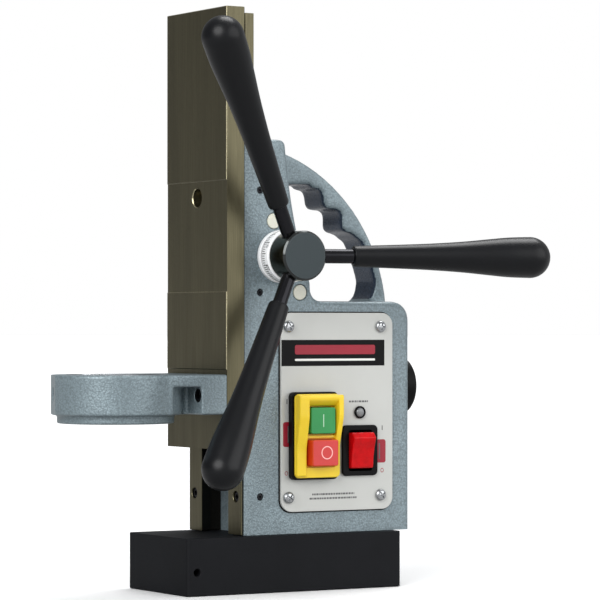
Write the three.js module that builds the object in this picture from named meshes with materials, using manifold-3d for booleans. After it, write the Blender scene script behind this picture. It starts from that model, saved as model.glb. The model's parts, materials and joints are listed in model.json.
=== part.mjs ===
// Magnetic drill stand: an electromagnet base, a cast frame with a carrying handle and an electronics box,
// a dovetail slide with a drill collar, and a three-spoke feed hub that drives the slide by rack and pinion.
// Millimetres. Origin at the centre of the magnet face, +Z up, the drill collar towards -X, the control
// panel towards -Y.

import * as THREE from 'three';
import { mergeVertices } from 'three/addons/utils/BufferGeometryUtils.js';
import Module from 'manifold-3d';

const wasm = await Module();
wasm.setup();

// ---------------------------------------------------------------- driving dimensions

const GAP = 0.3; // clearance left between neighbouring solids
const SMALL = 12; // sides of a small hole or screw
const ROUND = 26; // sides of an ordinary round face
const FINE = 40; // sides of a large or much seen round face

const MAGNET = { length: 160, width: 80, height: 36.5, corner: 2.5 };
const GROOVE = { halfLength: 64, halfWidth: 30, coreHalfLength: 48, coreHalfWidth: 15, depth: 24 };
const POTTING_TOP = 8;
const PILOT = { x: -73, z: 15, radius: 2.5, depth: 10 };
const BASE_BOLT = { radius: 3, headRadius: 5, headHeight: 6, x: [2, 38], y: 8, head: 0.7, tip: 47 };

const BODY_HALF = 34; // half width of the casting
const FOOT_Z = MAGNET.height + GAP;
const COLUMN = { front: -35.7, rear: -3.8, top: 291, corner: 4 };
const WEB = { x: 15, z: 199, fillet: 8 };
const BOX = { rear: 90.5, top: 187, corner: 12, wall: 4 };
const CAVITY = { x0: -5.5, x1: 71, z0: 54.5, z1: 176, undercut: 84, undercutHalf: 26, notch: 11 };
const BOARD = { x: [2, 64], y: [20, 21.7], z: [66, 164], postX: [8, 58], postZ: [72, 158], postRadius: 4 };
const HANDLE = { x: -29.6, z: 173.4, radius: 116.2, half: 13.5, thick: 11.6, thin: 6, edge: 10.2 };
const SCALLOP = { depth: 3, crest: 48, pitch: 11, first: 56, last: 31.5, step: 1.75 };

const RAIL = { front: -37.9, flange: -36.8, seat: -20, wall: 31, mouth: 17.3, deep: 23.3, flankEnd: -27.8, top: 289 };
const GIB_SCREW = { x: -23.5, z: [61.2, 126.8, 192.4, 258], radius: 2 };
const RAIL_SCREW = { y: 27.2, z: [61.5, 262], radius: 2, headRadius: 3.2, headHeight: 3.6, tip: -9 };
const WIRE_HOLE = { x: 24, y: 22.5, radius: 4 };

const SLIDE = { front: -51.7, back: -38.2, half: 39.5, bottom: 92, top: 374.5, step: 0.6 };
const SLIDE_RECESS = [[92, 143.5], [192.4, 264.2]];
const TONGUE = { mouth: 17, deep: 23, flankEnd: -28.2, back: -22, end: 2 };
const SLIDE_HOLE = { z: 253.5, radius: 6, depth: 10 };

const FEED = { x: -9, z: 215.5, pitchRadius: 7.5, module: 1.25, teeth: 12, faceHalf: 7.5, pressure: Math.PI / 9 };
const RACK = { back: -26.6, half: 7.5, addendum: 0.85, dedendum: 1.6, below: 30, above: 38 };
const RACK_RELIEF = { x: -14.6, half: 9 };
const RACK_SCREW = { z: [110, 356], radius: 1.6, headRadius: 3.2, headHeight: 2.8, head: -20, tip: -32.6 };
const PITCH = Math.PI * FEED.module;
const BACKLASH = 0.3;
const SHAFT = { radius: 5, near: -60, far: 37.5, groove: [35.4, 36.6], grooveRadius: 4.2 };
const CLIP = { inner: 4.5, outer: 7.6, span: [35.55, 36.45] };
const BUSH = { flange: 17, flangeFront: -37.5, bodyRadius: 9, inner: -9, clearance: 0.25 };
const FAR_BUSH = { radius: 8, front: 9.3 };
const DIAL = { radius: 17, bore: 10.4, front: -47.6, back: -39.4 };
const HUB = { radius: 16, front: -66, back: -48, spigot: 10, spigotEnd: -38.1, edge: 1.2, bore: 5.3 };
const SPOKE = { root: -54, splay: Math.PI / 12, rodStart: 9.6, rodEnd: 62, rodRadius: 4.6 };
const GRIP = { start: 38, end: 172, neck: 6.8, ball: 13.4 };

const COLLAR = { x: -110.3, radius: 42.5, bore: 31, bottom: 114.5, top: 140, ring: 37.3, ringBottom: 109 };
const FLANGE = { face: -69, half: 39.3, roof: 132.2, pocket: -89.5, pocketInner: 20 };
const CLAMP_FLAT = { angle: Math.PI * 159 / 180, distance: 39.9, holeRadius: 5 };
const COLLAR_SCREW = { y: 33, z: 126.8, radius: 2.5, headRadius: 4.25, headHeight: 5, head: -68.7, tip: -41 };

const PANEL = { x0: -9.3, x1: 75.7, z0: 51, z1: 179.4, front: -36.2, back: -34.3, corner: 8 };
const PANEL_SCREW = { x: [-3.9, 66], z: [60.3, 170.5], radius: 2, headRadius: 3.9, headHeight: 2.5, tip: -24 };
const SWITCH = { x0: -3, x1: 30.8, z0: 73, z1: 127, front: -41.4, face: -43.5, hood: -49, back: -14 };
const SWITCH_RIM = { left: 1.1, right: -0.4, ends: 1.3 };
const SWITCH_BODY = { x0: 1.4, x1: 26.6, z0: 77.4, z1: 122.6, well: -29 };
const SHROUD = { left: 4.7, right: 26.9, start: [100.3, 119.3], stop: [79.6, 98.7], root: 94, shoulder: 113 };
const BUTTON_X = 16.4;
const START = { z: 109.9, width: 18.5, height: 17, front: -46.5 };
const STOP = { z: 89.1, width: 19.5, height: 17, front: -49.2 };
const BUTTON_BACK = -34;
const ROCKER = { x: 49.3, z: 89.8, pivotY: -37, width: 16.8, bezelWidth: 27, bezelHeight: 33, front: -38.6 };
const ROCKER_CASE = { half: 12.2, halfHeight: 14.8, back: -14, well: -23, wellHalf: 13.4 };
const LAMP = { x: 49.8, z: 114.6, radius: 4.1, body: 3.5, lens: 2.9, front: -38.2, back: -20 };

const OUTLET = { z: 131, flange: 20.5, barrel: 17, well: 14.6, face: 94.6, floor: 78, back: 74, capFront: 107.5 };
const LID_HINGE = { x: 98.2, z: 155.4, radius: 1.5, lug: 3.8, half: 5 };
const GLAND = { y: 18, z: 62, thread: 7.8, bore: 4, hex: 11, nut: 9.6, end: 110 };
const PLUGS = { upper: [-13.2, 238.4], lower: [6.3, 192.6], radius: 4.9, depth: 2.4 };

// ---------------------------------------------------------------- solids

// Geometry with shared vertices and no empty triangles, as manifold-3d needs it.
function welded(geometry) {
  const bare = new THREE.BufferGeometry();
  bare.setAttribute('position', geometry.getAttribute('position').clone());
  bare.setIndex(geometry.index);
  const merged = mergeVertices(bare, 1e-4);
  const corners = merged.index.array;
  const kept = [];
  for (let i = 0; i < corners.length; i += 3) {
    const [a, b, c] = [corners[i], corners[i + 1], corners[i + 2]];
    if (a !== b && b !== c && a !== c) kept.push(a, b, c);
  }
  merged.setIndex(kept);
  return merged;
}

function toSolid(geometry) {
  const merged = welded(geometry);
  return new wasm.Manifold(new wasm.Mesh({
    numProp: 3,
    vertProperties: new Float32Array(merged.getAttribute('position').array),
    triVerts: new Uint32Array(merged.index.array),
  }));
}

function toGeometry(solid) {
  const mesh = solid.getMesh();
  const geometry = new THREE.BufferGeometry();
  geometry.setAttribute('position', new THREE.BufferAttribute(mesh.vertProperties, 3));
  geometry.setIndex(new THREE.BufferAttribute(mesh.triVerts, 1));
  geometry.computeVertexNormals();
  return geometry;
}

function join(first, ...others) {
  return toGeometry(others.reduce((all, one) => all.add(toSolid(one)), toSolid(first)));
}

function cut(first, ...others) {
  return toGeometry(others.reduce((all, one) => all.subtract(toSolid(one)), toSolid(first)));
}

function block(x0, x1, y0, y1, z0, z1) {
  const geometry = new THREE.BoxGeometry(x1 - x0, y1 - y0, z1 - z0);
  return geometry.translate((x0 + x1) / 2, (y0 + y1) / 2, (z0 + z1) / 2);
}

const BASES = {
  XY: new THREE.Matrix4(),
  XZ: new THREE.Matrix4().makeBasis(
    new THREE.Vector3(1, 0, 0), new THREE.Vector3(0, 0, 1), new THREE.Vector3(0, -1, 0)),
  YZ: new THREE.Matrix4().makeBasis(
    new THREE.Vector3(0, 1, 0), new THREE.Vector3(0, 0, 1), new THREE.Vector3(1, 0, 0)),
};

// An outline drawn in one of the three planes, extruded from one coordinate to another along the third axis.
function prism(plane, outline, from, to, curveSegments = 8) {
  const depth = to - from;
  const geometry = new THREE.ExtrudeGeometry(outline, { depth, bevelEnabled: false, curveSegments });
  geometry.applyMatrix4(BASES[plane]);
  const along = { XY: [0, 0, from], XZ: [0, to, 0], YZ: [from, 0, 0] }[plane];
  return geometry.translate(...along);
}

function outlineOf(points) {
  return new THREE.Shape(points.map(([u, v]) => new THREE.Vector2(u, v)));
}

function roundedRect(u0, u1, v0, v1, r) {
  const shape = new THREE.Shape();
  shape.absarc(u1 - r, v0 + r, r, -Math.PI / 2, 0, false);
  shape.absarc(u1 - r, v1 - r, r, 0, Math.PI / 2, false);
  shape.absarc(u0 + r, v1 - r, r, Math.PI / 2, Math.PI, false);
  shape.absarc(u0 + r, v0 + r, r, Math.PI, Math.PI * 1.5, false);
  return shape;
}

const AXES = {
  X: new THREE.Vector3(1, 0, 0),
  Y: new THREE.Vector3(0, 1, 0),
  Z: new THREE.Vector3(0, 0, 1),
};

// A body of revolution: [radius, distance along the axis] pairs, from the axis to the axis or closed.
function turned(profile, axis, origin, sides = ROUND) {
  const points = profile.map(([r, along]) => new THREE.Vector2(r, along));
  const geometry = new THREE.LatheGeometry(points, sides);
  const direction = axis.isVector3 ? axis : AXES[axis];
  geometry.applyQuaternion(new THREE.Quaternion().setFromUnitVectors(AXES.Y, direction));
  return geometry.translate(...origin);
}

// A plain round bar along X, Y or Z between two coordinates; u and v are its centre on the other two axes.
function bar(axis, radius, from, to, u, v, sides = ROUND) {
  const origin = { X: [0, u, v], Y: [u, 0, v], Z: [u, v, 0] }[axis];
  return turned([[0, from], [radius, from], [radius, to], [0, to]], axis, origin, sides);
}

// ---------------------------------------------------------------- materials and nodes

const COLORS = {
  black_paint: [0x232426, 0.75, 0.2],
  hammered_grey: [0x82929a, 0.55, 0.3],
  bronze_anodised: [0x5c5747, 0.42, 0.9],
  steel: [0x9a9c9e, 0.35, 1],
  black_steel: [0x26272a, 0.4, 0.9],
  zinc: [0xc9cbcc, 0.3, 1],
  copper: [0xa8643a, 0.4, 1],
  resin: [0x2b2320, 0.6, 0],
  bush_bronze: [0xb59a5c, 0.4, 1],
  ivory: [0xe1decd, 0.5, 0],
  panel_grey: [0xd6d7d1, 0.45, 0.1],
  black_plastic: [0x141416, 0.5, 0],
  yellow_plastic: [0xfad746, 0.4, 0],
  green_plastic: [0x3caa6e, 0.4, 0],
  red_plastic: [0xe15a5a, 0.4, 0],
  red_lens: [0xe0141e, 0.2, 0],
  lamp_lens: [0x5c5e60, 0.2, 0],
  board_green: [0x1f5a38, 0.6, 0],
  dial_silver: [0xd9dadb, 0.35, 0.8],
  gunmetal: [0x484c4e, 0.35, 0.9],
  grip_plastic: [0x1b1b20, 0.35, 0],
};

const stand = new THREE.Group();

function node(name, finish, geometry) {
  const [color, roughness, metalness] = COLORS[finish];
  const material = new THREE.MeshStandardMaterial({ color, roughness, metalness });
  const mesh = new THREE.Mesh(geometry, material);
  mesh.name = name;
  stand.add(mesh);
}

// A socket cap screw lying along an axis, its head's outer face at `head` and its tip at `tip`.
function capScrew(axis, radius, headRadius, headHeight, head, tip, u, v) {
  const way = Math.sign(tip - head);
  const shoulder = head + way * headHeight;
  const profile = [
    [0, tip], [radius, tip], [radius, shoulder], [headRadius, shoulder], [headRadius, head], [0, head],
  ];
  const origin = { X: [0, u, v], Y: [u, 0, v], Z: [u, v, 0] }[axis];
  const solid = turned(way > 0 ? profile.slice().reverse() : profile, axis, origin, 14);
  const socket = [head - way, head + way * headHeight * 0.6].sort((a, b) => a - b);
  return cut(solid, bar(axis, headRadius * 0.55, ...socket, u, v, 6));
}

// ---------------------------------------------------------------- magnet base

function racetrack(halfLength, halfWidth, corner, z0, z1) {
  return prism('XY', roundedRect(-halfLength, halfLength, -halfWidth, halfWidth, corner), z0, z1, 4);
}

// A ring that fills the coil groove between two heights, with a gap to both of its walls.
function grooveRing(gap, z0, z1) {
  const outer = racetrack(GROOVE.halfLength - gap, GROOVE.halfWidth - gap, 10, z0, z1);
  const inner = racetrack(GROOVE.coreHalfLength + gap, GROOVE.coreHalfWidth + gap, 5, z0 - 1, z1 + 1);
  return cut(outer, inner);
}

function magnetHousing() {
  const { length, width, height, corner } = MAGNET;
  const solid = prism('XY', roundedRect(-length / 2, length / 2, -width / 2, width / 2, corner), 0, height, 3);
  const groove = cut(
    racetrack(GROOVE.halfLength, GROOVE.halfWidth, 10, -1, GROOVE.depth),
    racetrack(GROOVE.coreHalfLength, GROOVE.coreHalfWidth, 5, -2, GROOVE.depth + 1));
  const { x: wireX, y: wireY, radius: wire } = WIRE_HOLE;
  const cuts = [groove, bar('Z', wire, GROOVE.depth - 1, height + 1, wireX, wireY, SMALL)];
  for (const side of [-1, 1]) {
    const edge = side * width / 2;
    const span = [edge + side, edge - side * PILOT.depth].sort((a, b) => a - b);
    cuts.push(bar('Y', PILOT.radius, ...span, PILOT.x, PILOT.z, SMALL));
    for (const x of BASE_BOLT.x) {
      cuts.push(bar('Z', BASE_BOLT.radius + GAP, -1, height + 1, x, side * BASE_BOLT.y, SMALL));
      cuts.push(bar('Z', BASE_BOLT.headRadius + GAP, -1, BASE_BOLT.headHeight + 1, x, side * BASE_BOLT.y, 16));
    }
  }
  return cut(solid, ...cuts);
}

function buildMagnet() {
  node('magnet_housing', 'black_paint', magnetHousing());
  node('magnet_coil', 'copper', grooveRing(0.8, POTTING_TOP + GAP, GROOVE.depth - GAP));
  node('magnet_potting', 'resin', grooveRing(GAP, 0.4, POTTING_TOP));
  let count = 0;
  for (const x of BASE_BOLT.x) {
    for (const y of [-BASE_BOLT.y, BASE_BOLT.y]) {
      count += 1;
      const { radius, headRadius, headHeight, head, tip } = BASE_BOLT;
      node(`base_bolt_${count}`, 'black_steel', capScrew('Z', radius, headRadius, headHeight, head, tip, x, y));
    }
  }
}

// ---------------------------------------------------------------- cast frame

// Column, web and electronics box as one side outline.
function frameOutline() {
  const shape = new THREE.Shape();
  shape.moveTo(COLUMN.front, FOOT_Z);
  shape.lineTo(BOX.rear - BOX.corner, FOOT_Z);
  shape.absarc(BOX.rear - BOX.corner, FOOT_Z + BOX.corner, BOX.corner, -Math.PI / 2, 0, false);
  shape.absarc(BOX.rear - BOX.corner, BOX.top - BOX.corner, BOX.corner, 0, Math.PI / 2, false);
  shape.absarc(WEB.x + WEB.fillet, BOX.top + WEB.fillet, WEB.fillet, -Math.PI / 2, -Math.PI, true);
  shape.lineTo(WEB.x, WEB.z);
  shape.quadraticCurveTo(1, 235, COLUMN.rear, COLUMN.top - COLUMN.corner);
  shape.absarc(COLUMN.rear - COLUMN.corner, COLUMN.top - COLUMN.corner, COLUMN.corner, 0, Math.PI / 2, false);
  shape.lineTo(COLUMN.front, COLUMN.top);
  return shape;
}

const polar = (radius, degrees) => {
  const angle = degrees * Math.PI / 180;
  return [HANDLE.x + radius * Math.cos(angle), HANDLE.z + radius * Math.sin(angle)];
};

// Carrying handle: a circular arch whose inner edge swells between the fingers.
function handleOutline() {
  const points = [];
  const [arcStart, arcEnd, arcSteps] = [6, 73, 14];
  for (let k = 0; k <= arcSteps; k += 1) {
    points.push(polar(HANDLE.radius, arcStart + (arcEnd - arcStart) * k / arcSteps));
  }
  points.push([COLUMN.rear - 6, COLUMN.top - 7], [COLUMN.rear - 6, COLUMN.top - 29]);
  points.push(polar(HANDLE.radius - HANDLE.edge, 58.3));
  for (let angle = SCALLOP.first; angle >= SCALLOP.last; angle -= SCALLOP.step) {
    const wave = Math.cos(2 * Math.PI * (angle - SCALLOP.crest) / SCALLOP.pitch);
    points.push(polar(HANDLE.radius - HANDLE.thick - SCALLOP.depth * wave, angle));
  }
  for (const angle of [29, 26, 23, 20, 17, 14.5]) points.push(polar(HANDLE.radius - HANDLE.thin, angle));
  points.push(polar(HANDLE.radius - 7.6, 12), polar(HANDLE.radius - HANDLE.edge, 9.6));
  points.push(polar(HANDLE.radius - 15, 7.6));
  points.push([70, BOX.top - 3], [80, BOX.top - 3]);
  return outlineOf(points);
}

// The space for the electronics: open at the panel, with a block left in each corner for a screw.
function cavitySolids() {
  const { x0, x1, z0, z1, undercut, undercutHalf, notch } = CAVITY;
  const mouth = outlineOf([
    [x0 + notch, z0], [x1 - notch, z0], [x1 - notch, z0 + notch], [x1, z0 + notch],
    [x1, z1 - notch], [x1 - notch, z1 - notch], [x1 - notch, z1], [x0 + notch, z1],
    [x0 + notch, z1 - notch], [x0, z1 - notch], [x0, z0 + notch], [x0 + notch, z0 + notch],
  ]);
  return [
    prism('XZ', mouth, -BODY_HALF - 1, BODY_HALF - BOX.wall),
    block(x1 - 14, undercut, -undercutHalf, undercutHalf, z0 + notch, z1 - notch),
    block(x1 - 14, undercut - 6, 6, undercutHalf, z0, z0 + notch + 1),
  ];
}

function frameCasting() {
  const body = join(
    prism('XZ', frameOutline(), -BODY_HALF, BODY_HALF, 6),
    prism('XZ', handleOutline(), -HANDLE.half, HANDLE.half));
  const inside = BODY_HALF - BOX.wall;
  const cuts = [
    block(COLUMN.front - 5, RAIL.seat, -RAIL.wall, RAIL.wall, FOOT_Z - 1, COLUMN.top + 1),
    block(RAIL.seat - 1, RACK_RELIEF.x, -RACK_RELIEF.half, RACK_RELIEF.half, FOOT_Z - 1, COLUMN.top + 1),
    bar('Y', BUSH.bodyRadius + GAP, -BODY_HALF - 1, FAR_BUSH.front - GAP, FEED.x, FEED.z),
    bar('Y', FAR_BUSH.radius + GAP, FAR_BUSH.front - 1, BODY_HALF + 1, FEED.x, FEED.z),
    ...cavitySolids(),
    bar('X', OUTLET.barrel + GAP, CAVITY.undercut - 1, BOX.rear + 1, 0, OUTLET.z),
    bar('X', GLAND.thread + GAP, CAVITY.undercut - 8, BOX.rear + 1, GLAND.y, GLAND.z, 20),
    bar('Z', WIRE_HOLE.radius, FOOT_Z - 1, CAVITY.z0 + 1, WIRE_HOLE.x, WIRE_HOLE.y, SMALL),
  ];
  const near = -BODY_HALF - 1;
  for (const z of GIB_SCREW.z) {
    cuts.push(bar('Y', GIB_SCREW.radius + GAP, near, -RAIL.wall + 1, GIB_SCREW.x, z, SMALL));
  }
  for (const x of BASE_BOLT.x) {
    for (const y of [-BASE_BOLT.y, BASE_BOLT.y]) {
      cuts.push(bar('Z', BASE_BOLT.radius + GAP, FOOT_Z - 1, BASE_BOLT.tip + 1, x, y, SMALL));
    }
  }
  for (const x of PANEL_SCREW.x) {
    for (const z of PANEL_SCREW.z) {
      cuts.push(bar('Y', PANEL_SCREW.radius + GAP, near, PANEL_SCREW.tip + 1, x, z, SMALL));
    }
  }
  for (const y of [-RAIL_SCREW.y, RAIL_SCREW.y]) {
    for (const z of RAIL_SCREW.z) {
      cuts.push(bar('X', RAIL_SCREW.radius + GAP, RAIL.seat - 1, RAIL_SCREW.tip + 1, y, z, SMALL));
    }
  }
  for (const [x, z] of [PLUGS.upper, PLUGS.lower]) {
    cuts.push(bar('Y', PLUGS.radius + GAP, near, -BODY_HALF + PLUGS.depth + 0.5, x, z, 24));
  }
  const posts = [];
  for (const x of BOARD.postX) {
    for (const z of BOARD.postZ) posts.push(bar('Y', BOARD.postRadius, BOARD.y[1] + GAP, inside + 1, x, z, 10));
  }
  return join(cut(body, ...cuts), ...posts);
}

// One of the two guide rails; side is -1 for the rail at the panel side.
function guideRail(side) {
  const [outer, flange] = [RAIL.wall - GAP, BODY_HALF];
  const section = [
    [RAIL.front, side * RAIL.mouth], [RAIL.flankEnd, side * RAIL.deep], [RAIL.seat - GAP, side * RAIL.deep],
    [RAIL.seat - GAP, side * outer], [RAIL.flange, side * outer], [RAIL.flange, side * flange],
    [RAIL.front, side * flange],
  ];
  if (side < 0) section.reverse();
  const rail = prism('XY', outlineOf(section.reverse()), FOOT_Z + GAP, RAIL.top);
  const holes = RAIL_SCREW.z.flatMap((z) => [
    bar('X', RAIL_SCREW.radius + GAP, RAIL.front - 1, RAIL.seat + 1, side * RAIL_SCREW.y, z, SMALL),
    bar('X', RAIL_SCREW.headRadius + GAP, RAIL.front - 1, RAIL.front + 5, side * RAIL_SCREW.y, z, 16),
  ]);
  return cut(rail, ...holes);
}

function buildFrame() {
  node('frame_casting', 'hammered_grey', frameCasting());
  node('guide_rail_near', 'bronze_anodised', guideRail(-1));
  node('guide_rail_far', 'bronze_anodised', guideRail(1));
  GIB_SCREW.z.forEach((z, i) => {
    const [outer, inner] = [-BODY_HALF + 0.8, -RAIL.wall - 0.05];
    const socket = bar('Y', 1, outer - 1, outer + 1.4, GIB_SCREW.x, z, 6);
    const screw = bar('Y', GIB_SCREW.radius, outer, inner, GIB_SCREW.x, z, SMALL);
    node(`gib_screw_${i + 1}`, 'black_steel', cut(screw, socket));
  });
  let count = 0;
  for (const side of [-1, 1]) {
    for (const z of RAIL_SCREW.z) {
      count += 1;
      const { radius, headRadius, headHeight, tip, y } = RAIL_SCREW;
      node(`rail_screw_${count}`, 'black_steel',
        capScrew('X', radius, headRadius, headHeight, RAIL.front + 1, tip, side * y, z));
    }
  }
  const [face, bed] = [-BODY_HALF + 0.2, -BODY_HALF + PLUGS.depth];
  node('plug_upper', 'ivory', bar('Y', PLUGS.radius, face, bed, ...PLUGS.upper, 24));
  node('plug_lower', 'ivory', bar('Y', PLUGS.radius, face, bed, ...PLUGS.lower, 24));
}

// ---------------------------------------------------------------- control panel and electronics

function panelPlate() {
  const { x0, x1, z0, z1, front, back, corner } = PANEL;
  const plate = prism('XZ', roundedRect(x0, x1, z0, z1, corner), front, back, 6);
  const holes = [
    block(SWITCH_BODY.x0 - 0.4, SWITCH_BODY.x1 + 0.4, front - 1, back + 1,
      SWITCH_BODY.z0 - 0.4, SWITCH_BODY.z1 + 0.4),
    block(ROCKER.x - ROCKER_CASE.half - GAP, ROCKER.x + ROCKER_CASE.half + GAP, front - 1, back + 1,
      ROCKER.z - ROCKER_CASE.halfHeight - GAP, ROCKER.z + ROCKER_CASE.halfHeight + GAP),
    bar('Y', LAMP.body + GAP, front - 1, back + 1, LAMP.x, LAMP.z, 20),
  ];
  for (const x of PANEL_SCREW.x) {
    for (const z of PANEL_SCREW.z) {
      holes.push(bar('Y', PANEL_SCREW.radius + GAP, front - 1, back + 1, x, z, SMALL));
    }
  }
  return cut(plate, ...holes);
}

// A pan-head screw with a cross recess, its head on the panel.
function panelScrew(x, z) {
  const { radius, headRadius, headHeight, tip } = PANEL_SCREW;
  const seat = PANEL.front - GAP;
  const face = seat - headHeight;
  const profile = [
    [0, face], [headRadius * 0.6, face], [headRadius * 0.9, face + 0.7], [headRadius, face + 1.6],
    [headRadius, seat], [radius, seat], [radius, tip], [0, tip],
  ];
  const [wing, half, floor] = [2.3, 0.45, face + 1.3];
  return cut(
    turned(profile, 'Y', [x, 0, z], 18),
    block(x - wing, x + wing, face - 1, floor, z - half, z + half),
    block(x - half, x + half, face - 1, floor, z - wing, z + wing));
}

// A part of the shroud's raised edge, from its side outline.
function raised(points, from, to) {
  return prism('YZ', outlineOf(points.slice().reverse()), from, to);
}

// The yellow frame round the two buttons, its sides and top raised round the start button.
function switchShroud() {
  const { x0, x1, z0, z1, front, face, hood } = SWITCH;
  const { left, right, start, stop, root: foot, shoulder } = SHROUD;
  const [root, crown] = [face + 1, z1 - 0.5];
  const frame = prism('XZ', roundedRect(x0, x1, z0, z1, 3), face, front - GAP, 4);
  const crest = [[root, crown], [hood + 1.5, crown], [hood, z1 - 3]];
  const lip = face - 1.2;
  const wall = raised([[root, foot], ...crest, [hood, shoulder], [face, foot]], right, x1 - 0.4);
  const rail = raised([[root, z0 + 2], ...crest, [hood, shoulder], [lip, foot - 2], [lip, z0 + 3]],
    x0 + 0.4, left);
  const roof = raised([[root, start[1] + 1], ...crest, [hood, z1 - 3.4]], left - 1, right + 1);
  const solid = join(frame, wall, rail, roof);
  return cut(solid,
    block(left, right, hood - 1, front + 1, ...start),
    block(left, right, hood - 1, front + 1, ...stop));
}

function switchBase() {
  const { x0, x1, z0, z1, front, back } = SWITCH;
  const { left, right, ends } = SWITCH_RIM;
  const rim = roundedRect(x0 - left, x1 + right, z0 - ends, z1 + ends, 3);
  const collar = prism('XZ', rim, front, PANEL.front - GAP, 4);
  const body = block(SWITCH_BODY.x0, SWITCH_BODY.x1, PANEL.front - 1, back, SWITCH_BODY.z0, SWITCH_BODY.z1);
  const wells = [START, STOP].map(({ z, width, height }) => block(
    BUTTON_X - width / 2 - GAP, BUTTON_X + width / 2 + GAP, front - 1, SWITCH_BODY.well,
    z - height / 2 - GAP, z + height / 2 + GAP));
  return cut(join(collar, body), ...wells);
}

// A push button: a cap with rounded corners, guided in its well.
function button({ z, width, height, front }) {
  const outline = roundedRect(BUTTON_X - width / 2, BUTTON_X + width / 2, z - height / 2, z + height / 2, 1.5);
  return prism('XZ', outline, front, BUTTON_BACK, 4);
}

function rockerBezel() {
  const { x, z, bezelWidth, bezelHeight, front, width } = ROCKER;
  const rim = prism('XZ',
    roundedRect(x - bezelWidth / 2, x + bezelWidth / 2, z - bezelHeight / 2, z + bezelHeight / 2, 3),
    front, PANEL.front - GAP, 4);
  const { half, halfHeight, back, well: floor, wellHalf } = ROCKER_CASE;
  const housing = block(x - half, x + half, PANEL.front - 1, back, z - halfHeight, z + halfHeight);
  const well = block(x - width / 2 - 0.5, x + width / 2 + 0.5, front - 1, floor, z - wellHalf, z + wellHalf);
  return cut(join(rim, housing), well);
}

// The rocker, off: its lower end pressed in and its upper end standing out.
function magnetRocker() {
  const { x, z, pivotY, width } = ROCKER;
  const side = outlineOf([
    [pivotY - 3.2, z - 11.6], [pivotY + 4, z - 11.2], [pivotY + 8, z - 6], [pivotY + 8, z + 6],
    [pivotY + 4, z + 11.2], [pivotY - 5, z + 11.9], [pivotY - 8, z + 8.4], [pivotY - 4.2, z - 10.8],
  ].reverse());
  return prism('YZ', side, x - width / 2, x + width / 2);
}

function controlBoard() {
  const board = block(...BOARD.x, ...BOARD.y, ...BOARD.z);
  return join(board,
    block(8, 28, 6, 20.5, 130, 158),
    block(36, 60, 10, 20.5, 84, 110),
    bar('Y', 7, 2, 20.5, 46, 140, 16),
    block(8, 58, 12, 20.5, 68, 77));
}

function buildPanel() {
  node('panel_plate', 'panel_grey', panelPlate());
  let count = 0;
  for (const z of PANEL_SCREW.z) {
    for (const x of PANEL_SCREW.x) {
      count += 1;
      node(`panel_screw_${count}`, 'zinc', panelScrew(x, z));
    }
  }
  node('switch_base', 'black_plastic', switchBase());
  node('switch_shroud', 'yellow_plastic', switchShroud());
  node('start_button', 'green_plastic', button(START));
  node('stop_button', 'red_plastic', button(STOP));
  node('rocker_bezel', 'black_plastic', rockerBezel());
  node('magnet_rocker', 'red_lens', magnetRocker());
  const { x, z, radius, body, lens, front, back } = LAMP;
  const collar = PANEL.front - GAP;
  node('lamp_bezel', 'black_plastic', turned([
    [lens + GAP, back], [lens + GAP, front], [radius, front + 0.4], [radius, collar], [body, collar],
    [body, back], [lens + GAP, back],
  ], 'Y', [x, 0, z], 24));
  node('lamp_lens', 'lamp_lens', turned([
    [0, front - 0.4], [lens * 0.6, front - 0.2], [lens, front + 0.5], [lens, back + 4], [0, back + 4],
  ], 'Y', [x, 0, z], 20));
  node('control_board', 'board_green', controlBoard());
}

// ---------------------------------------------------------------- rear outlet and mains inlet

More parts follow.
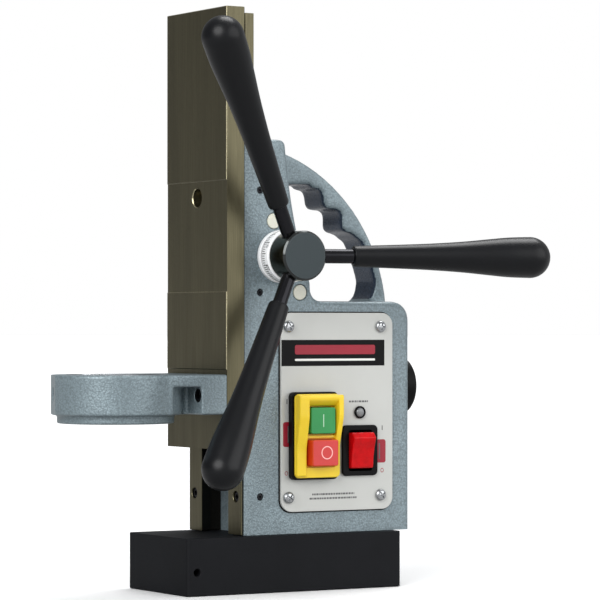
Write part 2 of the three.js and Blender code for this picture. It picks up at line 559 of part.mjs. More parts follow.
function buildRear() {
  const { z, flange, barrel, well, face, floor, back, capFront } = OUTLET;
  const seat = BOX.rear + GAP;
  const shell = turned([
    [0, back], [barrel, back], [barrel, seat], [flange, seat], [flange, face], [well, face], [well, floor],
    [0, floor],
  ], 'X', [0, 0, z], 32);
  const { x: hx, z: hz, lug, half, radius } = LID_HINGE;
  const ears = [-1, 1].map((side) => {
    const [y0, y1] = side < 0 ? [-half - 4, -half] : [half, half + 4];
    const ear = join(
      bar('Y', lug, y0, y1, hx, hz, 14),
      block(seat, face, y0, y1, z + 15, hz),
      block(face - 1, hx, y0, y1, z + 20, hz + lug * 0.7));
    return cut(ear, bar('Y', radius + GAP, y0 - 1, y1 + 1, hx, hz, 10));
  });
  node('outlet_body', 'black_plastic', join(shell, ...ears));
  const insert = bar('X', well - GAP, floor + GAP, floor + 4, 0, z, 24);
  const pins = [-1, 1].map((side) => bar('X', 2.6, floor, floor + 5, side * 6.5, z, SMALL));
  node('outlet_contacts', 'black_plastic', cut(insert, ...pins));
  const cap = turned([
    [0, face + 3], [well - 1, face + 3], [well - 1, face + GAP], [flange - 1, face + GAP],
    [flange - 1, capFront - 4], [flange - 2.2, capFront - 1.2], [flange - 5, capFront], [0, capFront],
  ], 'X', [0, 0, z], 32);
  const [tab0, tab1] = [-half + GAP, half - GAP];
  const tab = join(bar('Y', lug, tab0, tab1, hx, hz, 14), block(hx - 1, hx + lug, tab0, tab1, z + 15, hz));
  const pinHole = bar('Y', radius + GAP, tab0 - 1, tab1 + 1, hx, hz, 10);
  node('outlet_lid', 'black_plastic', cut(join(cap, tab), pinHole));
  node('lid_pin', 'zinc', bar('Y', radius, -half - 4.5, half + 4.5, hx, hz, 10));

  const { y, z: gz, thread, bore, hex, nut, end } = GLAND;
  const body = join(
    bar('X', thread, CAVITY.undercut - 5, end - 6, y, gz, 20),
    bar('X', hex, seat, seat + 5, y, gz, 6));
  node('cable_gland', 'black_plastic', cut(body, bar('X', bore, CAVITY.undercut - 6, end + 1, y, gz, 16)));
  node('gland_nut', 'black_plastic', turned([
    [bore, end - 5.6], [thread + GAP, end - 5.6], [thread + GAP, seat + 5 + GAP], [nut, seat + 5 + GAP],
    [nut, end - 6], [bore + 1.6, end], [bore, end], [bore, end - 5.6],
  ], 'X', [0, y, gz], 20));
}

// ---------------------------------------------------------------- slide

function slidePlate() {
  const { front, back, half, bottom, top, step } = SLIDE;
  const plate = block(front, back, -half, half, bottom, top);
  const { mouth, deep, flankEnd, back: rear, end } = TONGUE;
  const dovetail = outlineOf([
    [back - 1, -mouth], [back, -mouth], [flankEnd, -deep], [rear, -deep], [rear, deep], [flankEnd, deep],
    [back, mouth], [back - 1, mouth],
  ]);
  const solid = join(plate, prism('XY', dovetail, bottom + end, top - end));
  const cuts = SLIDE_RECESS.map(([z0, z1]) => block(
    front - 1, front + step, -half - 1, half + 1, z0 === bottom ? z0 - 1 : z0, z1));
  cuts.push(
    block(RACK.back - GAP, rear + 1, -RACK.half - GAP, RACK.half + GAP, bottom, top),
    bar('X', SLIDE_HOLE.radius, front - 1, front + SLIDE_HOLE.depth, 0, SLIDE_HOLE.z, 24));
  for (const side of [-1, 1]) {
    const { radius, tip, y, z } = COLLAR_SCREW;
    cuts.push(bar('X', radius + GAP, front - 1, tip + 1, side * y, z, 16));
  }
  for (const z of RACK_SCREW.z) {
    cuts.push(bar('X', RACK_SCREW.radius + GAP, RACK_SCREW.tip - 1, RACK.back + 1, 0, z, SMALL));
  }
  return cut(solid, ...cuts);
}

// Straight-sided rack teeth, one of them centred opposite the pinion.
function rackTeeth() {
  const line = FEED.x - FEED.pitchRadius;
  const slope = Math.tan(FEED.pressure);
  const half = PITCH / 4 - BACKLASH / 2;
  const points = [[RACK.back, FEED.z - (RACK.below + 0.5) * PITCH]];
  for (let k = -RACK.below; k <= RACK.above; k += 1) {
    const z = FEED.z + k * PITCH;
    const [root, tip] = [line - RACK.dedendum, line + RACK.addendum];
    points.push(
      [root, z - half - RACK.dedendum * slope], [tip, z - half + RACK.addendum * slope],
      [tip, z + half - RACK.addendum * slope], [root, z + half + RACK.dedendum * slope]);
  }
  points.push([RACK.back, FEED.z + (RACK.above + 0.5) * PITCH]);
  const first = points[1];
  const last = points[points.length - 2];
  points.splice(1, 0, [first[0], points[0][1]]);
  points.splice(points.length - 1, 0, [last[0], points[points.length - 1][1]]);
  const rack = prism('XZ', outlineOf(points.reverse()), -RACK.half, RACK.half);
  const { radius, headRadius, headHeight, head } = RACK_SCREW;
  const holes = RACK_SCREW.z.flatMap((z) => [
    bar('X', radius + 2 * GAP, RACK.back - 1, FEED.x, 0, z, SMALL),
    bar('X', headRadius + 0.4, head - headHeight - GAP, FEED.x, 0, z, SMALL),
  ]);
  return cut(rack, ...holes);
}

function drillCollar() {
  const { x, radius, bore, bottom, top, ring, ringBottom } = COLLAR;
  const seat = SLIDE.front + SLIDE.step - GAP;
  const pockets = [-1, 1].map((side) => {
    const [y0, y1] = [side * FLANGE.pocketInner, side * (FLANGE.half + 1)].sort((a, b) => a - b);
    const pocket = block(FLANGE.pocket, FLANGE.face, y0, y1, bottom - 1, FLANGE.roof);
    return cut(pocket, bar('Z', radius, bottom - 2, top + 1, x, 0, 48));
  });
  const [cos, sin] = [Math.cos(CLAMP_FLAT.angle), Math.sin(CLAMP_FLAT.angle)];
  const turn = new THREE.Matrix4().makeRotationZ(CLAMP_FLAT.angle).setPosition(x, 0, 0);
  const flat = block(CLAMP_FLAT.distance, radius + 8, -30, 30, bottom - 0.01, top + 1).applyMatrix4(turn);
  const direction = new THREE.Vector3(cos, sin, 0);
  const clampHole = turned(
    [[0, bore - 4], [CLAMP_FLAT.holeRadius, bore - 4], [CLAMP_FLAT.holeRadius, radius + 4], [0, radius + 4]],
    direction, [x, 0, (bottom + top) / 2], 20);
  const solid = join(
    bar('Z', radius, bottom, top, x, 0, 48),
    bar('Z', ring, ringBottom, bottom + 1, x, 0, 48),
    block(x, seat, -FLANGE.half, FLANGE.half, bottom, top));
  const cuts = [bar('Z', bore, ringBottom - 1, top + 1, x, 0, 48), ...pockets, flat, clampHole];
  for (const side of [-1, 1]) {
    const { radius: screw, headRadius, headHeight, head, y, z } = COLLAR_SCREW;
    cuts.push(bar('X', screw + GAP, FLANGE.face - 1, seat + 1, side * y, z, 16));
    cuts.push(bar('X', headRadius + GAP, FLANGE.face - 1, head + headHeight + GAP, side * y, z, 20));
  }
  return cut(solid, ...cuts);
}

function buildSlide() {
  node('slide_plate', 'bronze_anodised', slidePlate());
  node('feed_rack', 'steel', rackTeeth());
  RACK_SCREW.z.forEach((z, i) => {
    const { radius, headRadius, headHeight, head, tip } = RACK_SCREW;
    node(`rack_screw_${i + 1}`, 'black_steel', capScrew('X', radius, headRadius, headHeight, head, tip, 0, z));
  });
  node('drill_collar', 'hammered_grey', drillCollar());
  [-1, 1].forEach((side, i) => {
    const { y, z, radius, headRadius, headHeight, head, tip } = COLLAR_SCREW;
    node(`collar_screw_${i + 1}`, 'black_steel',
      capScrew('X', radius, headRadius, headHeight, head, tip, side * y, z));
  });
}

// ---------------------------------------------------------------- feed drive

// Involute pinion section, a tooth space facing the rack.
function pinionOutline() {
  const { pitchRadius, module: size, teeth, pressure } = FEED;
  const [tip, root] = [pitchRadius + size, pitchRadius - 1.25 * size];
  const base = pitchRadius * Math.cos(pressure);
  const involute = (radius) => {
    const angle = Math.acos(Math.min(1, base / radius));
    return Math.tan(angle) - angle;
  };
  const halfAtPitch = Math.PI / (2 * teeth) - BACKLASH / (2 * pitchRadius);
  const radii = [base, base + 0.35, pitchRadius + 0.3, tip];
  const halfAt = (radius) => halfAtPitch + involute(pitchRadius) - involute(radius);
  const points = [];
  for (let k = 0; k < teeth; k += 1) {
    const centre = Math.PI + (k + 0.5) * 2 * Math.PI / teeth;
    const push = (radius, angle) => {
      points.push([FEED.x + radius * Math.cos(angle), FEED.z + radius * Math.sin(angle)]);
    };
    push(root, centre - halfAt(base));
    radii.forEach((radius) => push(radius, centre - halfAt(radius)));
    radii.slice().reverse().forEach((radius) => push(radius, centre + halfAt(radius)));
    push(root, centre + halfAt(base));
  }
  return outlineOf(points);
}

// A direction in the plane of the spokes, leaning out of it by the splay angle.
function spokeDirection(index) {
  const around = index * 2 * Math.PI / 3;
  const flat = Math.cos(SPOKE.splay);
  return new THREE.Vector3(flat * Math.cos(around), -Math.sin(SPOKE.splay), flat * Math.sin(around));
}

// A grip that swells towards a round end, with a blind hole for its rod.
function gripProfile() {
  const { rodRadius, rodEnd } = SPOKE;
  const { start, end, neck, ball } = GRIP;
  const hole = rodRadius + GAP;
  const profile = [
    [0, rodEnd + 2], [hole, rodEnd + 2], [hole, start], [neck - 0.7, start], [neck, start + 1],
    [neck + 0.3, start + 12], [neck + 0.9, start + 30], [neck + 1.8, start + 52], [neck + 3.2, start + 74],
    [ball - 1.7, start + 92], [ball - 0.4, start + 106],
  ];
  for (let k = 0; k <= 5; k += 1) {
    const angle = (k / 5) * Math.PI / 2;
    profile.push([ball * Math.cos(angle), end - ball + ball * Math.sin(angle)]);
  }
  profile[profile.length - 1][0] = 0;
  return profile;
}

function feedHub() {
  const { radius, front, back, spigot, spigotEnd, edge, bore } = HUB;
  const solid = turned([
    [0, front], [radius - edge, front], [radius, front + edge], [radius, back], [spigot, back],
    [spigot, spigotEnd], [0, spigotEnd],
  ], 'Y', [FEED.x, 0, FEED.z], FINE);
  const cuts = [bar('Y', bore, SHAFT.near - 1, spigotEnd + 1, FEED.x, FEED.z)];
  for (let k = 0; k < 3; k += 1) {
    const hole = SPOKE.rodRadius + GAP;
    cuts.push(turned([[0, SPOKE.rodStart - 1], [hole, SPOKE.rodStart - 1], [hole, 30], [0, 30]],
      spokeDirection(k), [FEED.x, SPOKE.root, FEED.z], 18));
  }
  return cut(solid, ...cuts);
}

// A plain ring round the feed axis.
function washer(inner, outer, from, to) {
  const profile = [[inner, from], [outer, from], [outer, to], [inner, to], [inner, from]];
  return turned(profile, 'Y', [FEED.x, 0, FEED.z]);
}

function buildFeed() {
  const { x, z } = FEED;
  node('pinion_shaft', 'steel', cut(
    join(
      bar('Y', SHAFT.radius, SHAFT.near, SHAFT.far, x, z),
      prism('XZ', pinionOutline(), -FEED.faceHalf, FEED.faceHalf)),
    washer(SHAFT.grooveRadius, SHAFT.radius + 2, ...SHAFT.groove)));
  node('shaft_clip', 'black_steel', washer(CLIP.inner, CLIP.outer, ...CLIP.span));
  const inner = SHAFT.radius + BUSH.clearance;
  node('pinion_bush_near', 'dial_silver', turned([
    [inner, BUSH.flangeFront], [BUSH.flange - 0.6, BUSH.flangeFront], [BUSH.flange, BUSH.flangeFront + 0.6],
    [BUSH.flange, -BODY_HALF - GAP], [BUSH.bodyRadius, -BODY_HALF - GAP], [BUSH.bodyRadius, BUSH.inner],
    [inner, BUSH.inner], [inner, BUSH.flangeFront],
  ], 'Y', [x, 0, z], FINE));
  node('pinion_bush_far', 'bush_bronze', washer(inner, FAR_BUSH.radius, FAR_BUSH.front, BODY_HALF));
  node('graduated_dial', 'dial_silver', turned([
    [DIAL.bore, DIAL.front], [DIAL.radius - 0.8, DIAL.front], [DIAL.radius, DIAL.front + 0.8],
    [DIAL.radius, DIAL.back], [DIAL.bore, DIAL.back], [DIAL.bore, DIAL.front],
  ], 'Y', [x, 0, z], FINE));
  node('feed_hub', 'gunmetal', feedHub());
  for (let k = 0; k < 3; k += 1) {
    const direction = spokeDirection(k);
    const origin = [x, SPOKE.root, z];
    const { rodStart, rodEnd, rodRadius } = SPOKE;
    node(`spoke_rod_${k + 1}`, 'black_steel', turned([
      [0, rodStart], [rodRadius, rodStart], [rodRadius, rodEnd], [0, rodEnd],
    ], direction, origin, 16));
    node(`feed_grip_${k + 1}`, 'grip_plastic', turned(gripProfile(), direction, origin, 20));
  }
}

buildMagnet();
buildFrame();
buildPanel();
buildRear();
buildSlide();
buildFeed();

export default stand;
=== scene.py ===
import json
from math import cos, pi, radians, sin
from random import Random

import bmesh
import bpy
from mathutils import Matrix, Vector

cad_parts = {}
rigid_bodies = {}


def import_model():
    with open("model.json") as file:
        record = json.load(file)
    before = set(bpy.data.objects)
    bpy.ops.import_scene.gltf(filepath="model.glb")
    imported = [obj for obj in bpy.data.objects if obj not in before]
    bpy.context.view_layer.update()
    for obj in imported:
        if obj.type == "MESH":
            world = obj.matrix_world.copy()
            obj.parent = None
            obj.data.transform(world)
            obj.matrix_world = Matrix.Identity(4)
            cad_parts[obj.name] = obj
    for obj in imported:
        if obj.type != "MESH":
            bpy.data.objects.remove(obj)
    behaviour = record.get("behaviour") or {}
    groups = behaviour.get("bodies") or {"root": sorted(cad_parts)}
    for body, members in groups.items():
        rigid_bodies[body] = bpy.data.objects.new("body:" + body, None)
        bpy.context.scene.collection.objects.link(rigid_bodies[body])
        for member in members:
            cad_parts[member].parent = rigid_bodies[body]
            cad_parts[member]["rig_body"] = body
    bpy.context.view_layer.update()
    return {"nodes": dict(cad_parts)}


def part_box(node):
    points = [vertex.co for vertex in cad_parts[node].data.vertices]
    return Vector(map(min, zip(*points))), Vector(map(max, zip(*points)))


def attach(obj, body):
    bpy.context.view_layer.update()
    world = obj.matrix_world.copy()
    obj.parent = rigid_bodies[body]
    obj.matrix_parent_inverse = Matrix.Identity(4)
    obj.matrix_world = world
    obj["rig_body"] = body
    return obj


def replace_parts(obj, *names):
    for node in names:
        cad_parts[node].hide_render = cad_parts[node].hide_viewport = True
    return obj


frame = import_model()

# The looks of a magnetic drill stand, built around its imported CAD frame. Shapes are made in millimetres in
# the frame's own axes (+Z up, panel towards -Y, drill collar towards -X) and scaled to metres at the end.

MM = 0.001
GAP = 0.3  # clearance between neighbouring parts
X, Y, Z = Vector((1, 0, 0)), Vector((0, 1, 0)), Vector((0, 0, 1))

# ---------------------------------------------------------------- camera

EYE = Vector((-1.0210, -1.7473, 0.1695))
LOOK = Vector((0.5138, 0.8579, 0.0023))
LENS = 185.5
SHIFT = (0.0022, 0.035)

scene = bpy.context.scene
camera = bpy.data.objects.new("camera", bpy.data.cameras.new("camera"))
camera.data.lens = LENS
camera.data.sensor_width = 36
camera.data.shift_x, camera.data.shift_y = SHIFT
camera.data.clip_start, camera.data.clip_end = 0.05, 200
camera.location = EYE
camera.rotation_mode = "QUATERNION"
camera.rotation_quaternion = LOOK.to_track_quat("-Z", "Y")
scene.collection.objects.link(camera)
scene.camera = camera
scene.view_settings.view_transform = "Standard"

# ---------------------------------------------------------------- mesh kit (millimetres)


def corners_of(node):
    """Lowest and highest corner of a CAD node, in millimetres."""
    low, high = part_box(node)
    return low / MM, high / MM


def solid(bm):
    """An object made from a bmesh, its faces turned outwards."""
    bmesh.ops.recalc_face_normals(bm, faces=bm.faces)
    mesh = bpy.data.meshes.new("solid")
    bm.to_mesh(mesh)
    bm.free()
    obj = bpy.data.objects.new("solid", mesh)
    scene.collection.objects.link(obj)
    return obj


def modified(obj, kind, **settings):
    """The object with one modifier applied to its mesh."""
    modifier = obj.modifiers.new(kind, kind)
    for key, value in settings.items():
        setattr(modifier, key, value)
    graph = bpy.context.evaluated_depsgraph_get()
    mesh = bpy.data.meshes.new_from_object(obj.evaluated_get(graph))
    obj.modifiers.clear()
    old, obj.data = obj.data, mesh
    bpy.data.meshes.remove(old)
    return obj


def combined(obj, others, operation):
    """The object after one boolean with the others, which are used up."""
    group = bpy.data.collections.new("operands")
    scene.collection.children.link(group)
    for other in others:
        group.objects.link(other)
    modified(obj, "BOOLEAN", operand_type="COLLECTION", collection=group, operation=operation, solver="EXACT")
    for other in others:
        bpy.data.objects.remove(other)
    bpy.data.collections.remove(group)
    return obj


def cut(obj, *others):
    return combined(obj, others, "DIFFERENCE")


def join(obj, *others):
    return combined(obj, others, "UNION")


def between(*rows):
    """A closed bmesh between two rows of points, one above the other."""
    bm = bmesh.new()
    floor, roof = [[bm.verts.new(point) for point in row] for row in rows]
    bm.faces.new(floor)
    bm.faces.new(roof)
    for i, here in enumerate(floor):
        bm.faces.new((floor[i - 1], here, roof[i], roof[i - 1]))
    return bm


PLANES = {"XY": (X, Y, Z), "XZ": (X, Z, Y), "YZ": (Y, Z, X)}


def prism(plane, outline, low, high, edge=0.0, steps=3, sharp=25):
    """An outline in one plane, extruded between two heights, its sharp edges rounded."""
    u, v, w = PLANES[plane]
    bm = between(*[[u * a + v * b + w * height for a, b in outline] for height in (low, high)])
    bmesh.ops.recalc_face_normals(bm, faces=bm.faces)
    if edge:
        bm.normal_update()
        edges = [e for e in bm.edges if e.calc_face_angle(0) > radians(sharp)]
        bmesh.ops.bevel(bm, geom=edges, offset=edge, segments=steps, profile=0.5, affect="EDGES",
                        clamp_overlap=True)
    return solid(bm)


def block(x0, x1, y0, y1, z0, z1, edge=0.0):
    return prism("XY", [(x0, y0), (x1, y0), (x1, y1), (x0, y1)], z0, z1, edge)


def arc(u, v, radius, start, end, steps=8):
    """Points on a circle between two angles in degrees."""
    angles = [radians(start + (end - start) * k / steps) for k in range(steps + 1)]
    return [(u + radius * cos(a), v + radius * sin(a)) for a in angles]


def rounded(u0, u1, v0, v1, r, steps=8):
    """A rectangle with round corners."""
    return (arc(u1 - r, v0 + r, r, -90, 0, steps) + arc(u1 - r, v1 - r, r, 0, 90, steps)
            + arc(u0 + r, v1 - r, r, 90, 180, steps) + arc(u0 + r, v0 + r, r, 180, 270, steps))


def softened(points, radius, closed=True, steps=4):
    """A line of points with its corners rounded off."""
    if not radius:
        return list(points)
    line = []
    last = len(points) - 1
    for i, point in enumerate(points):
        if not closed and i in (0, last):
            line.append(tuple(point))
            continue
        here = Vector(point)
        back, ahead = Vector(points[i - 1]) - here, Vector(points[(i + 1) % len(points)]) - here
        reach = min(radius, back.length * 0.45, ahead.length * 0.45)
        start, end = here + back.normalized() * reach, here + ahead.normalized() * reach
        for k in range(steps + 1):
            t = k / steps
            line.append(tuple(start * (1 - t) ** 2 + here * 2 * t * (1 - t) + end * t * t))
    return line


def flowing(points, steps=5):
    """A smooth line through the points, which keeps its two ends."""
    p = [Vector(q) for q in points]
    p = [p[0]] + p + [p[-1]]
    line = []
    for a, b, c, d in zip(p, p[1:], p[2:], p[3:]):
        for k in range(steps):
            t = k / steps
            line.append(tuple(0.5 * (2 * b + (c - a) * t + (2 * a - 5 * b + 4 * c - d) * t * t
                                     + (3 * b - a - 3 * c + d) * t ** 3)))
    line.append(tuple(points[-1]))
    return line


def turned(profile, axis, origin, sides=64):
    """A body of revolution from pairs of a radius and a distance along the axis."""
    on_axis = 1e-6
    bm = bmesh.new()
    rings = []
    for radius, along in profile:
        angles = [2 * pi * k / sides for k in range(sides if radius > on_axis else 1)]
        rings.append([bm.verts.new((radius * cos(a), radius * sin(a), along)) for a in angles])
    pairs = list(zip(rings, rings[1:]))
    if profile[0][0] > on_axis:
        pairs.append((rings[-1], rings[0]))
    for a, b in pairs:
        for k in range(sides):
            ring = [a[k % len(a)], a[(k + 1) % len(a)], b[(k + 1) % len(b)], b[k % len(b)]]
            ring = list(dict.fromkeys(ring))
            if len(ring) > 2:
                bm.faces.new(ring)
    turn = axis.normalized().to_track_quat("Z", "Y").to_matrix().to_4x4()
    bm.transform(Matrix.Translation(origin) @ turn)
    return solid(bm)


def rod(radius, start, end, axis, origin, edge=0.0, sides=48):
    """A round bar between two distances along an axis, its ends rounded over by `edge`."""
    profile = [(0, start), (radius, start), (radius, end), (0, end)]
    return turned(softened(profile, edge, False) if edge else profile, axis, origin, sides)


def drill(point, axis, radius, depth, chamfer=0.4, sides=40):
    """A cutter for a round hole that starts at a point on a surface and goes along an axis."""
    profile = [(0, -2), (radius + chamfer, -2), (radius + chamfer, 0), (radius, chamfer), (radius, depth),
               (0, depth + radius * 0.5)]
    return turned(profile, axis, point, sides)


def gathered(parts):
    """Several small meshes as one."""
    whole = bmesh.new()
    for bm in parts:
        mesh = bpy.data.meshes.new("part")
        bm.to_mesh(mesh)
        bm.free()
        whole.from_mesh(mesh)
        bpy.data.meshes.remove(mesh)
    return solid(whole)


def refined(node, edge=0.25, angle=40):
    """A CAD node's own shape with its sharp edges broken."""
    bm = bmesh.new()
    bm.from_mesh(frame["nodes"][node].data)
    bmesh.ops.scale(bm, vec=(1 / MM,) * 3, verts=bm.verts)
    bmesh.ops.remove_doubles(bm, verts=bm.verts, dist=1e-3)
    bmesh.ops.dissolve_limit(bm, angle_limit=radians(1), verts=bm.verts, edges=bm.edges)
    obj = solid(bm)
    return modified(obj, "BEVEL", width=edge, segments=2, limit_method="ANGLE", angle_limit=radians(angle))


# ---------------------------------------------------------------- materials


def node_in(tree, kind, inputs=(), **settings):
    """A new shader node; each input is a value or another node's output."""
    made = tree.nodes.new(kind)
    for key, value in settings.items():
        setattr(made, key, value)
    for key, value in dict(inputs).items():
        if isinstance(value, bpy.types.NodeSocket):
            tree.links.new(value, made.inputs[key])
        else:
            made.inputs[key].default_value = value
    return made


class Shader:
    """A Principled material whose detail comes from noise in the frame's own axes, in millimetres."""

    def __init__(self):
        self.material = bpy.data.materials.new("look")
        self.material.use_nodes = True
        self.tree = self.material.node_tree
        self.surface = self.tree.nodes["Principled BSDF"]
        self.coordinates = self.add("ShaderNodeTexCoord").outputs["Object"]
        self.normal = None

    def add(self, kind, inputs=(), **settings):
        return node_in(self.tree, kind, inputs, **settings)

    def set(self, **values):
        names = {"metal": "Metallic", "specular": "Specular IOR Level", "coat": "Coat Weight",
                 "coat_rough": "Coat Roughness", "subsurface": "Subsurface Weight"}
        for key, value in values.items():
            self.surface.inputs[names[key]].default_value = value
        return self

    def place(self, size, stretch=(1, 1, 1), centre=(0, 0, 0)):
        """Coordinates in which one unit is `size` millimetres, drawn out along some axes."""
        scale = [1 / (size * MM * s) for s in stretch]
        shift = [-c * MM * k for c, k in zip(centre, scale)]
        inputs = {"Vector": self.coordinates, "Scale": scale, "Location": shift}
        return self.add("ShaderNodeMapping", inputs).outputs["Vector"]

    def noise(self, size, detail=2.0, stretch=(1, 1, 1)):
        inputs = {"Vector": self.place(size, stretch), "Scale": 1.0, "Detail": detail, "Roughness": 0.55}
        return self.add("ShaderNodeTexNoise", inputs).outputs["Fac"]

    def cells(self, size):
        inputs = {"Vector": self.place(size), "Scale": 1.0, "Smoothness": 0.6}
        return self.add("ShaderNodeTexVoronoi", inputs, feature="SMOOTH_F1").outputs["Distance"]

    def rings(self, size, centre, axis):
        inputs = {"Vector": self.place(size, centre=centre), "Scale": 1.0}
        made = self.add("ShaderNodeTexWave", inputs, wave_type="RINGS", rings_direction=axis)
        return made.outputs["Fac"]

    def spread(self, value, low, high, start=0.35, end=0.65):
        made = self.add("ShaderNodeMapRange", {"Value": value, "From Min": start, "From Max": end,
                                               "To Min": low, "To Max": high})
        return made.outputs["Result"]

    def mix(self, amount, first, second):
        return self.add("ShaderNodeMix", {0: amount, 6: first, 7: second}, data_type="RGBA").outputs[2]

    def colour(self, value):
        self.tree.links.new(value, self.surface.inputs["Base Color"])
        return self

    def roughness(self, value):
        self.tree.links.new(value, self.surface.inputs["Roughness"])
        return self

    def raise_by(self, height, depth):
        """Bump of a depth in millimetres, added to any before it."""
        inputs = {"Height": height, "Distance": depth * MM, "Strength": 1.0}
        if self.normal:
            inputs["Normal"] = self.normal
        self.normal = self.add("ShaderNodeBump", inputs).outputs["Normal"]
        self.tree.links.new(self.normal, self.surface.inputs["Normal"])
        return self


def linear(r, g, b):
    """A colour given as 0-255 display values, as the shader wants it."""
    def one(v):
        v /= 255
        return v / 12.92 if v <= 0.04045 else ((v + 0.055) / 1.055) ** 2.4
    return (one(r), one(g), one(b), 1.0)


def scaled(colour, factor):
    return tuple(min(1.0, c * factor) for c in colour[:3]) + (1.0,)


def plain(colour, rough, metal=0.0, grain=0.6, depth=0.01, vary=0.12, patch=18.0, stretch=(1, 1, 1),
          **more):
    """A finish with soft patches of colour, a fine grain and uneven gloss."""
    span = 0.06
    s = Shader()
    base = linear(*colour)
    patches = s.noise(patch, 3.0, stretch)
    fine = s.noise(grain, 3.0, stretch)
    tone = s.mix(s.spread(patches, 0.0, 1.0), scaled(base, 1 - vary), scaled(base, 1 + vary))
    tone = s.mix(s.spread(fine, 0.0, 0.5), tone, scaled(base, 1 + vary * 1.6))
    s.colour(tone).roughness(s.spread(fine, rough - span, rough + span)).raise_by(fine, depth)
    return s.set(metal=metal, **more).material


def hammered(colour, rough):
    """Hammer-finish paint: small smooth dimples with a darker line round each, over a soft cast surface."""
    s = Shader()
    base = linear(*colour)
    dimple = s.cells(1.25)
    speck = s.noise(0.7, 2.0)
    patches = s.noise(26, 3.0)
    tone = s.mix(s.spread(patches, 0.0, 1.0), scaled(base, 0.88), scaled(base, 1.1))
    tone = s.mix(s.spread(dimple, 0.0, 0.9, 0.25, 0.7), tone, scaled(base, 0.66))
    tone = s.mix(s.spread(speck, 0.0, 0.6, 0.55, 0.75), tone, scaled(base, 1.7))
    s.colour(tone).roughness(s.spread(speck, rough - 0.1, rough + 0.1))
    s.raise_by(dimple, 0.16).raise_by(speck, 0.05)
    return s.set(metal=0.35, coat=0.15, coat_rough=0.3).material


def ink(colour, rough=0.4, vary=0.03, **more):
    """A thin printed layer."""
    return plain(colour, rough, grain=0.3, depth=0.003, vary=vary, **more)


def moulded(colour, vary=0.06, rough=0.34, **more):
    """Smooth coloured plastic."""
    return plain(colour, rough, grain=0.4, depth=0.006, vary=vary, **more)


def anodised(colour, rough):
    """Anodised aluminium with fine vertical drawing lines."""
    s = Shader()
    base = linear(*colour)
    lines = s.noise(0.5, 2.0, (1, 1, 60))
    broad = s.noise(9, 2.0, (1, 1, 12))
    tone = s.mix(s.spread(broad, 0.0, 1.0), scaled(base, 0.9), scaled(base, 1.1))
    tone = s.mix(s.spread(lines, 0.0, 0.6), tone, scaled(base, 0.82))
    s.colour(tone).roughness(s.spread(lines, rough - 0.07, rough + 0.07)).raise_by(lines, 0.006)
    return s.set(metal=0.92).material


def machined(colour, rough, centre, axis="Y", metal=1.0):
    """Turned metal with fine rings round an axis."""
    s = Shader()
    base = linear(*colour)
    rings = s.rings(5, centre, axis)
    fine = s.noise(0.5, 2.0)
    tone = s.mix(s.spread(fine, 0.0, 1.0), scaled(base, 0.9), scaled(base, 1.12))
    s.colour(tone).roughness(s.spread(rings, rough - 0.05, rough + 0.07, 0.0, 1.0)).raise_by(rings, 0.004)
    return s.set(metal=metal).material


FEED_AXIS = (corners_of("feed_hub")[0] + corners_of("feed_hub")[1]) / 2
COLLAR_AXIS = (-110.3, 0, 0)
LOOKS = {
    "magnet_black": plain((19, 20, 23), 0.6, grain=0.45, depth=0.03, patch=30, specular=0.13),
    "copper": plain((184, 108, 62), 0.35, 1.0, stretch=(6, 6, 1)),
    "resin": plain((43, 35, 32), 0.55, grain=1.5),
    "black_steel": plain((34, 34, 37), 0.36, 0.85, grain=0.35, depth=0.006),
    "hammered_grey": hammered((130, 145, 151), 0.42),
    "bronze_anodised": anodised((102, 97, 76), 0.36),
    "ivory": plain((228, 225, 208), 0.42, grain=0.5, vary=0.05, subsurface=0.05),
    "panel_grey": plain((194, 195, 191), 0.4, 0.1, grain=0.35, depth=0.004, vary=0.025, patch=30),
    "zinc": plain((176, 178, 180), 0.18, 1.0, grain=0.3, depth=0.006),
    "black_plastic": plain((9, 9, 10), 0.42, grain=0.4, depth=0.012, specular=0.12),
    "yellow_plastic": moulded((241, 204, 38), 0.04, subsurface=0.06),
    "green_plastic": moulded((38, 139, 72)),
    "red_plastic": moulded((206, 58, 20)),
    "red_lens": plain((190, 6, 13), 0.2, grain=2.0, depth=0.01, vary=0.16, patch=7, specular=0.22,
                      subsurface=0.08),
    "lamp_lens": plain((116, 118, 120), 0.2, grain=0.8, depth=0.02, coat=0.6, coat_rough=0.08),
    "board_green": plain((31, 96, 60), 0.45, grain=1.0),
    "steel": plain((160, 162, 165), 0.3, 1.0, grain=0.4, stretch=(1, 8, 1)),
    "bush_bronze": machined((196, 160, 92), 0.3, FEED_AXIS),
    "dial_silver": machined((242, 244, 246), 0.4, FEED_AXIS, metal=0.0),
    "gunmetal": machined((62, 68, 70), 0.34, FEED_AXIS),
    "blackened_rod": plain((40, 40, 43), 0.18, 0.9, grain=0.35, depth=0.002),
    "grip_plastic": plain((9, 10, 13), 0.34, grain=0.45, depth=0.004, specular=0.26),
}
